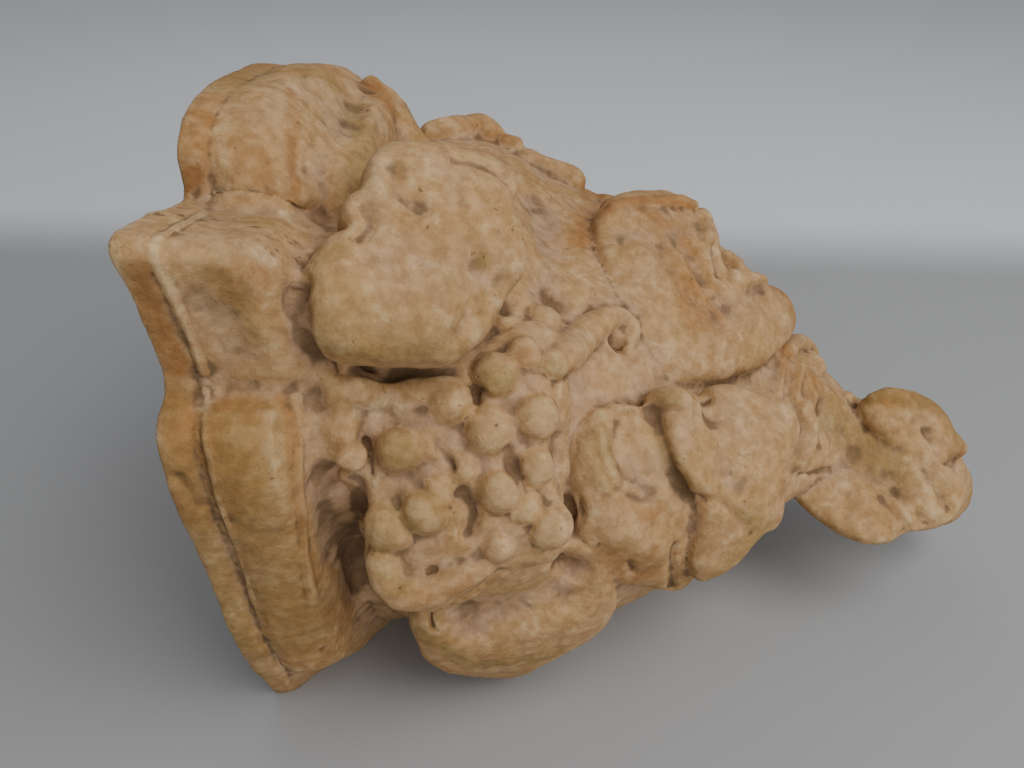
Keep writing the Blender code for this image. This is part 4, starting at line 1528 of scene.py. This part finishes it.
LEAVES = (
    VineLeaf("big_leaf", 0.208, 48, 1.12, 21, 46, (385, 148, 368, 160, 361, 178, 360, 196,
        346, 202, 338, 218, 341, 234, 350, 238, 328, 243, 311, 262, 298, 284, 293, 305, 297, 325,
        312, 345, 335, 358, 370, 364, 410, 366, 450, 365, 468, 354, 484, 338, 494, 315, 508, 296,
        521, 275, 524, 258, 521, 240, 514, 222, 502, 207, 514, 198, 513, 184, 500, 170, 478, 160,
        450, 151, 420, 146, 402, 146), thickness=0.03, bend_radius=0.22),
    VineLeaf("upper_leaf", 0.526, 65, 0.1, 27, 60, (603, 200, 618, 195, 645, 192, 670, 194,
        690, 198, 700, 210, 690, 225, 694, 240, 708, 262, 722, 280, 745, 288, 765, 287, 785, 301,
        793, 325, 785, 345, 765, 362, 735, 376, 700, 386, 665, 384, 645, 365, 625, 330, 607, 290,
        598, 250, 598, 220), bend_radius=0.2, edge=0.58, crown=0.7),
    VineLeaf("low_leaf", 0.437, 19, 0.1, 20, 12, (582, 420, 600, 409, 625, 405, 645, 408,
        660, 425, 672, 455, 690, 485, 700, 520, 699, 557, 694, 577, 676, 589, 645, 584, 620, 583,
        600, 577, 585, 562, 578, 540, 572, 510, 568, 480, 567, 450, 572, 430),
        thickness=0.022, edge=0.56, crown=0.75),
    VineLeaf("side_leaf", 0.567, 27, 0.85, 24, 25, (652, 408, 660, 392, 678, 387, 690, 391,
        701, 400, 708, 388, 725, 383, 750, 390, 775, 398, 788, 405, 794, 425, 789, 445, 782, 460,
        777, 490, 775, 522, 767, 530, 757, 530, 748, 540, 734, 556, 712, 574, 695, 585, 688, 560,
        690, 530, 694, 505, 680, 480, 664, 455, 654, 430),
        thickness=0.024, edge=0.48, crown=0.62),
    VineLeaf("near_leaf", 0.302, -4, 0.0, 10, -6, (410, 600, 418, 635, 436, 657, 460, 668,
        485, 672, 510, 668, 540, 657, 568, 640, 597, 622, 616, 594, 612, 570, 600, 545, 560, 530,
        500, 535, 450, 555, 420, 580), edge=0.5),
    VineLeaf("grape_bed", 0.262, 22, 0.1, 6, 22, (326, 368, 320, 400, 322, 435, 338, 472,
        352, 505, 363, 545, 380, 588, 405, 606, 450, 607, 492, 580, 520, 562, 556, 556, 566, 500,
        566, 440, 568, 380, 560, 330, 525, 322, 480, 345, 430, 350, 380, 352),
        thickness=0.032, bend_radius=0.2, edge=0.7, crown=0.75),
    VineLeaf("tail_lower_lobe", 0.84, 20, 0.35, 4, 58, (797, 466, 815, 450, 850, 438, 885, 438,
        915, 452, 934, 466, 954, 476, 964, 490, 958, 508, 944, 524, 925, 530, 905, 533, 893, 543,
        870, 545, 845, 537, 822, 520, 800, 503, 783, 485),
        far_side=False, thickness=0.016, bend_radius=0.3, edge=0.5),
    VineLeaf("tail_upper_lobe", 0.86, 50, 0.25, 14, 44, (860, 412, 858, 402, 868, 396, 885, 390,
        905, 391, 930, 398, 945, 415, 952, 432, 964, 443, 955, 458, 938, 466, 920, 476, 906, 468,
        890, 450, 872, 430),
        far_side=False, thickness=0.02, bend_radius=0.1, edge=0.75, crown=0.85),
)


def main() -> None:
    """Build the corbel, then its room and camera."""
    logging.basicConfig(level=logging.INFO, format="%(name)s: %(message)s")
    view = ViewCamera()
    view.build()
    clay = CorbelClay(view, CorbelBody(), MouldedCap(), LEAVES)
    piece = clay.build()
    piece.data.materials.append(ClayFinish().build())
    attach(piece, "root")
    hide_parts("corbel")
    LOG.info("%s: %d faces", piece.name, len(piece.data.polygons))
    StudioFinish().build()


if __name__ == "__main__":
    main()
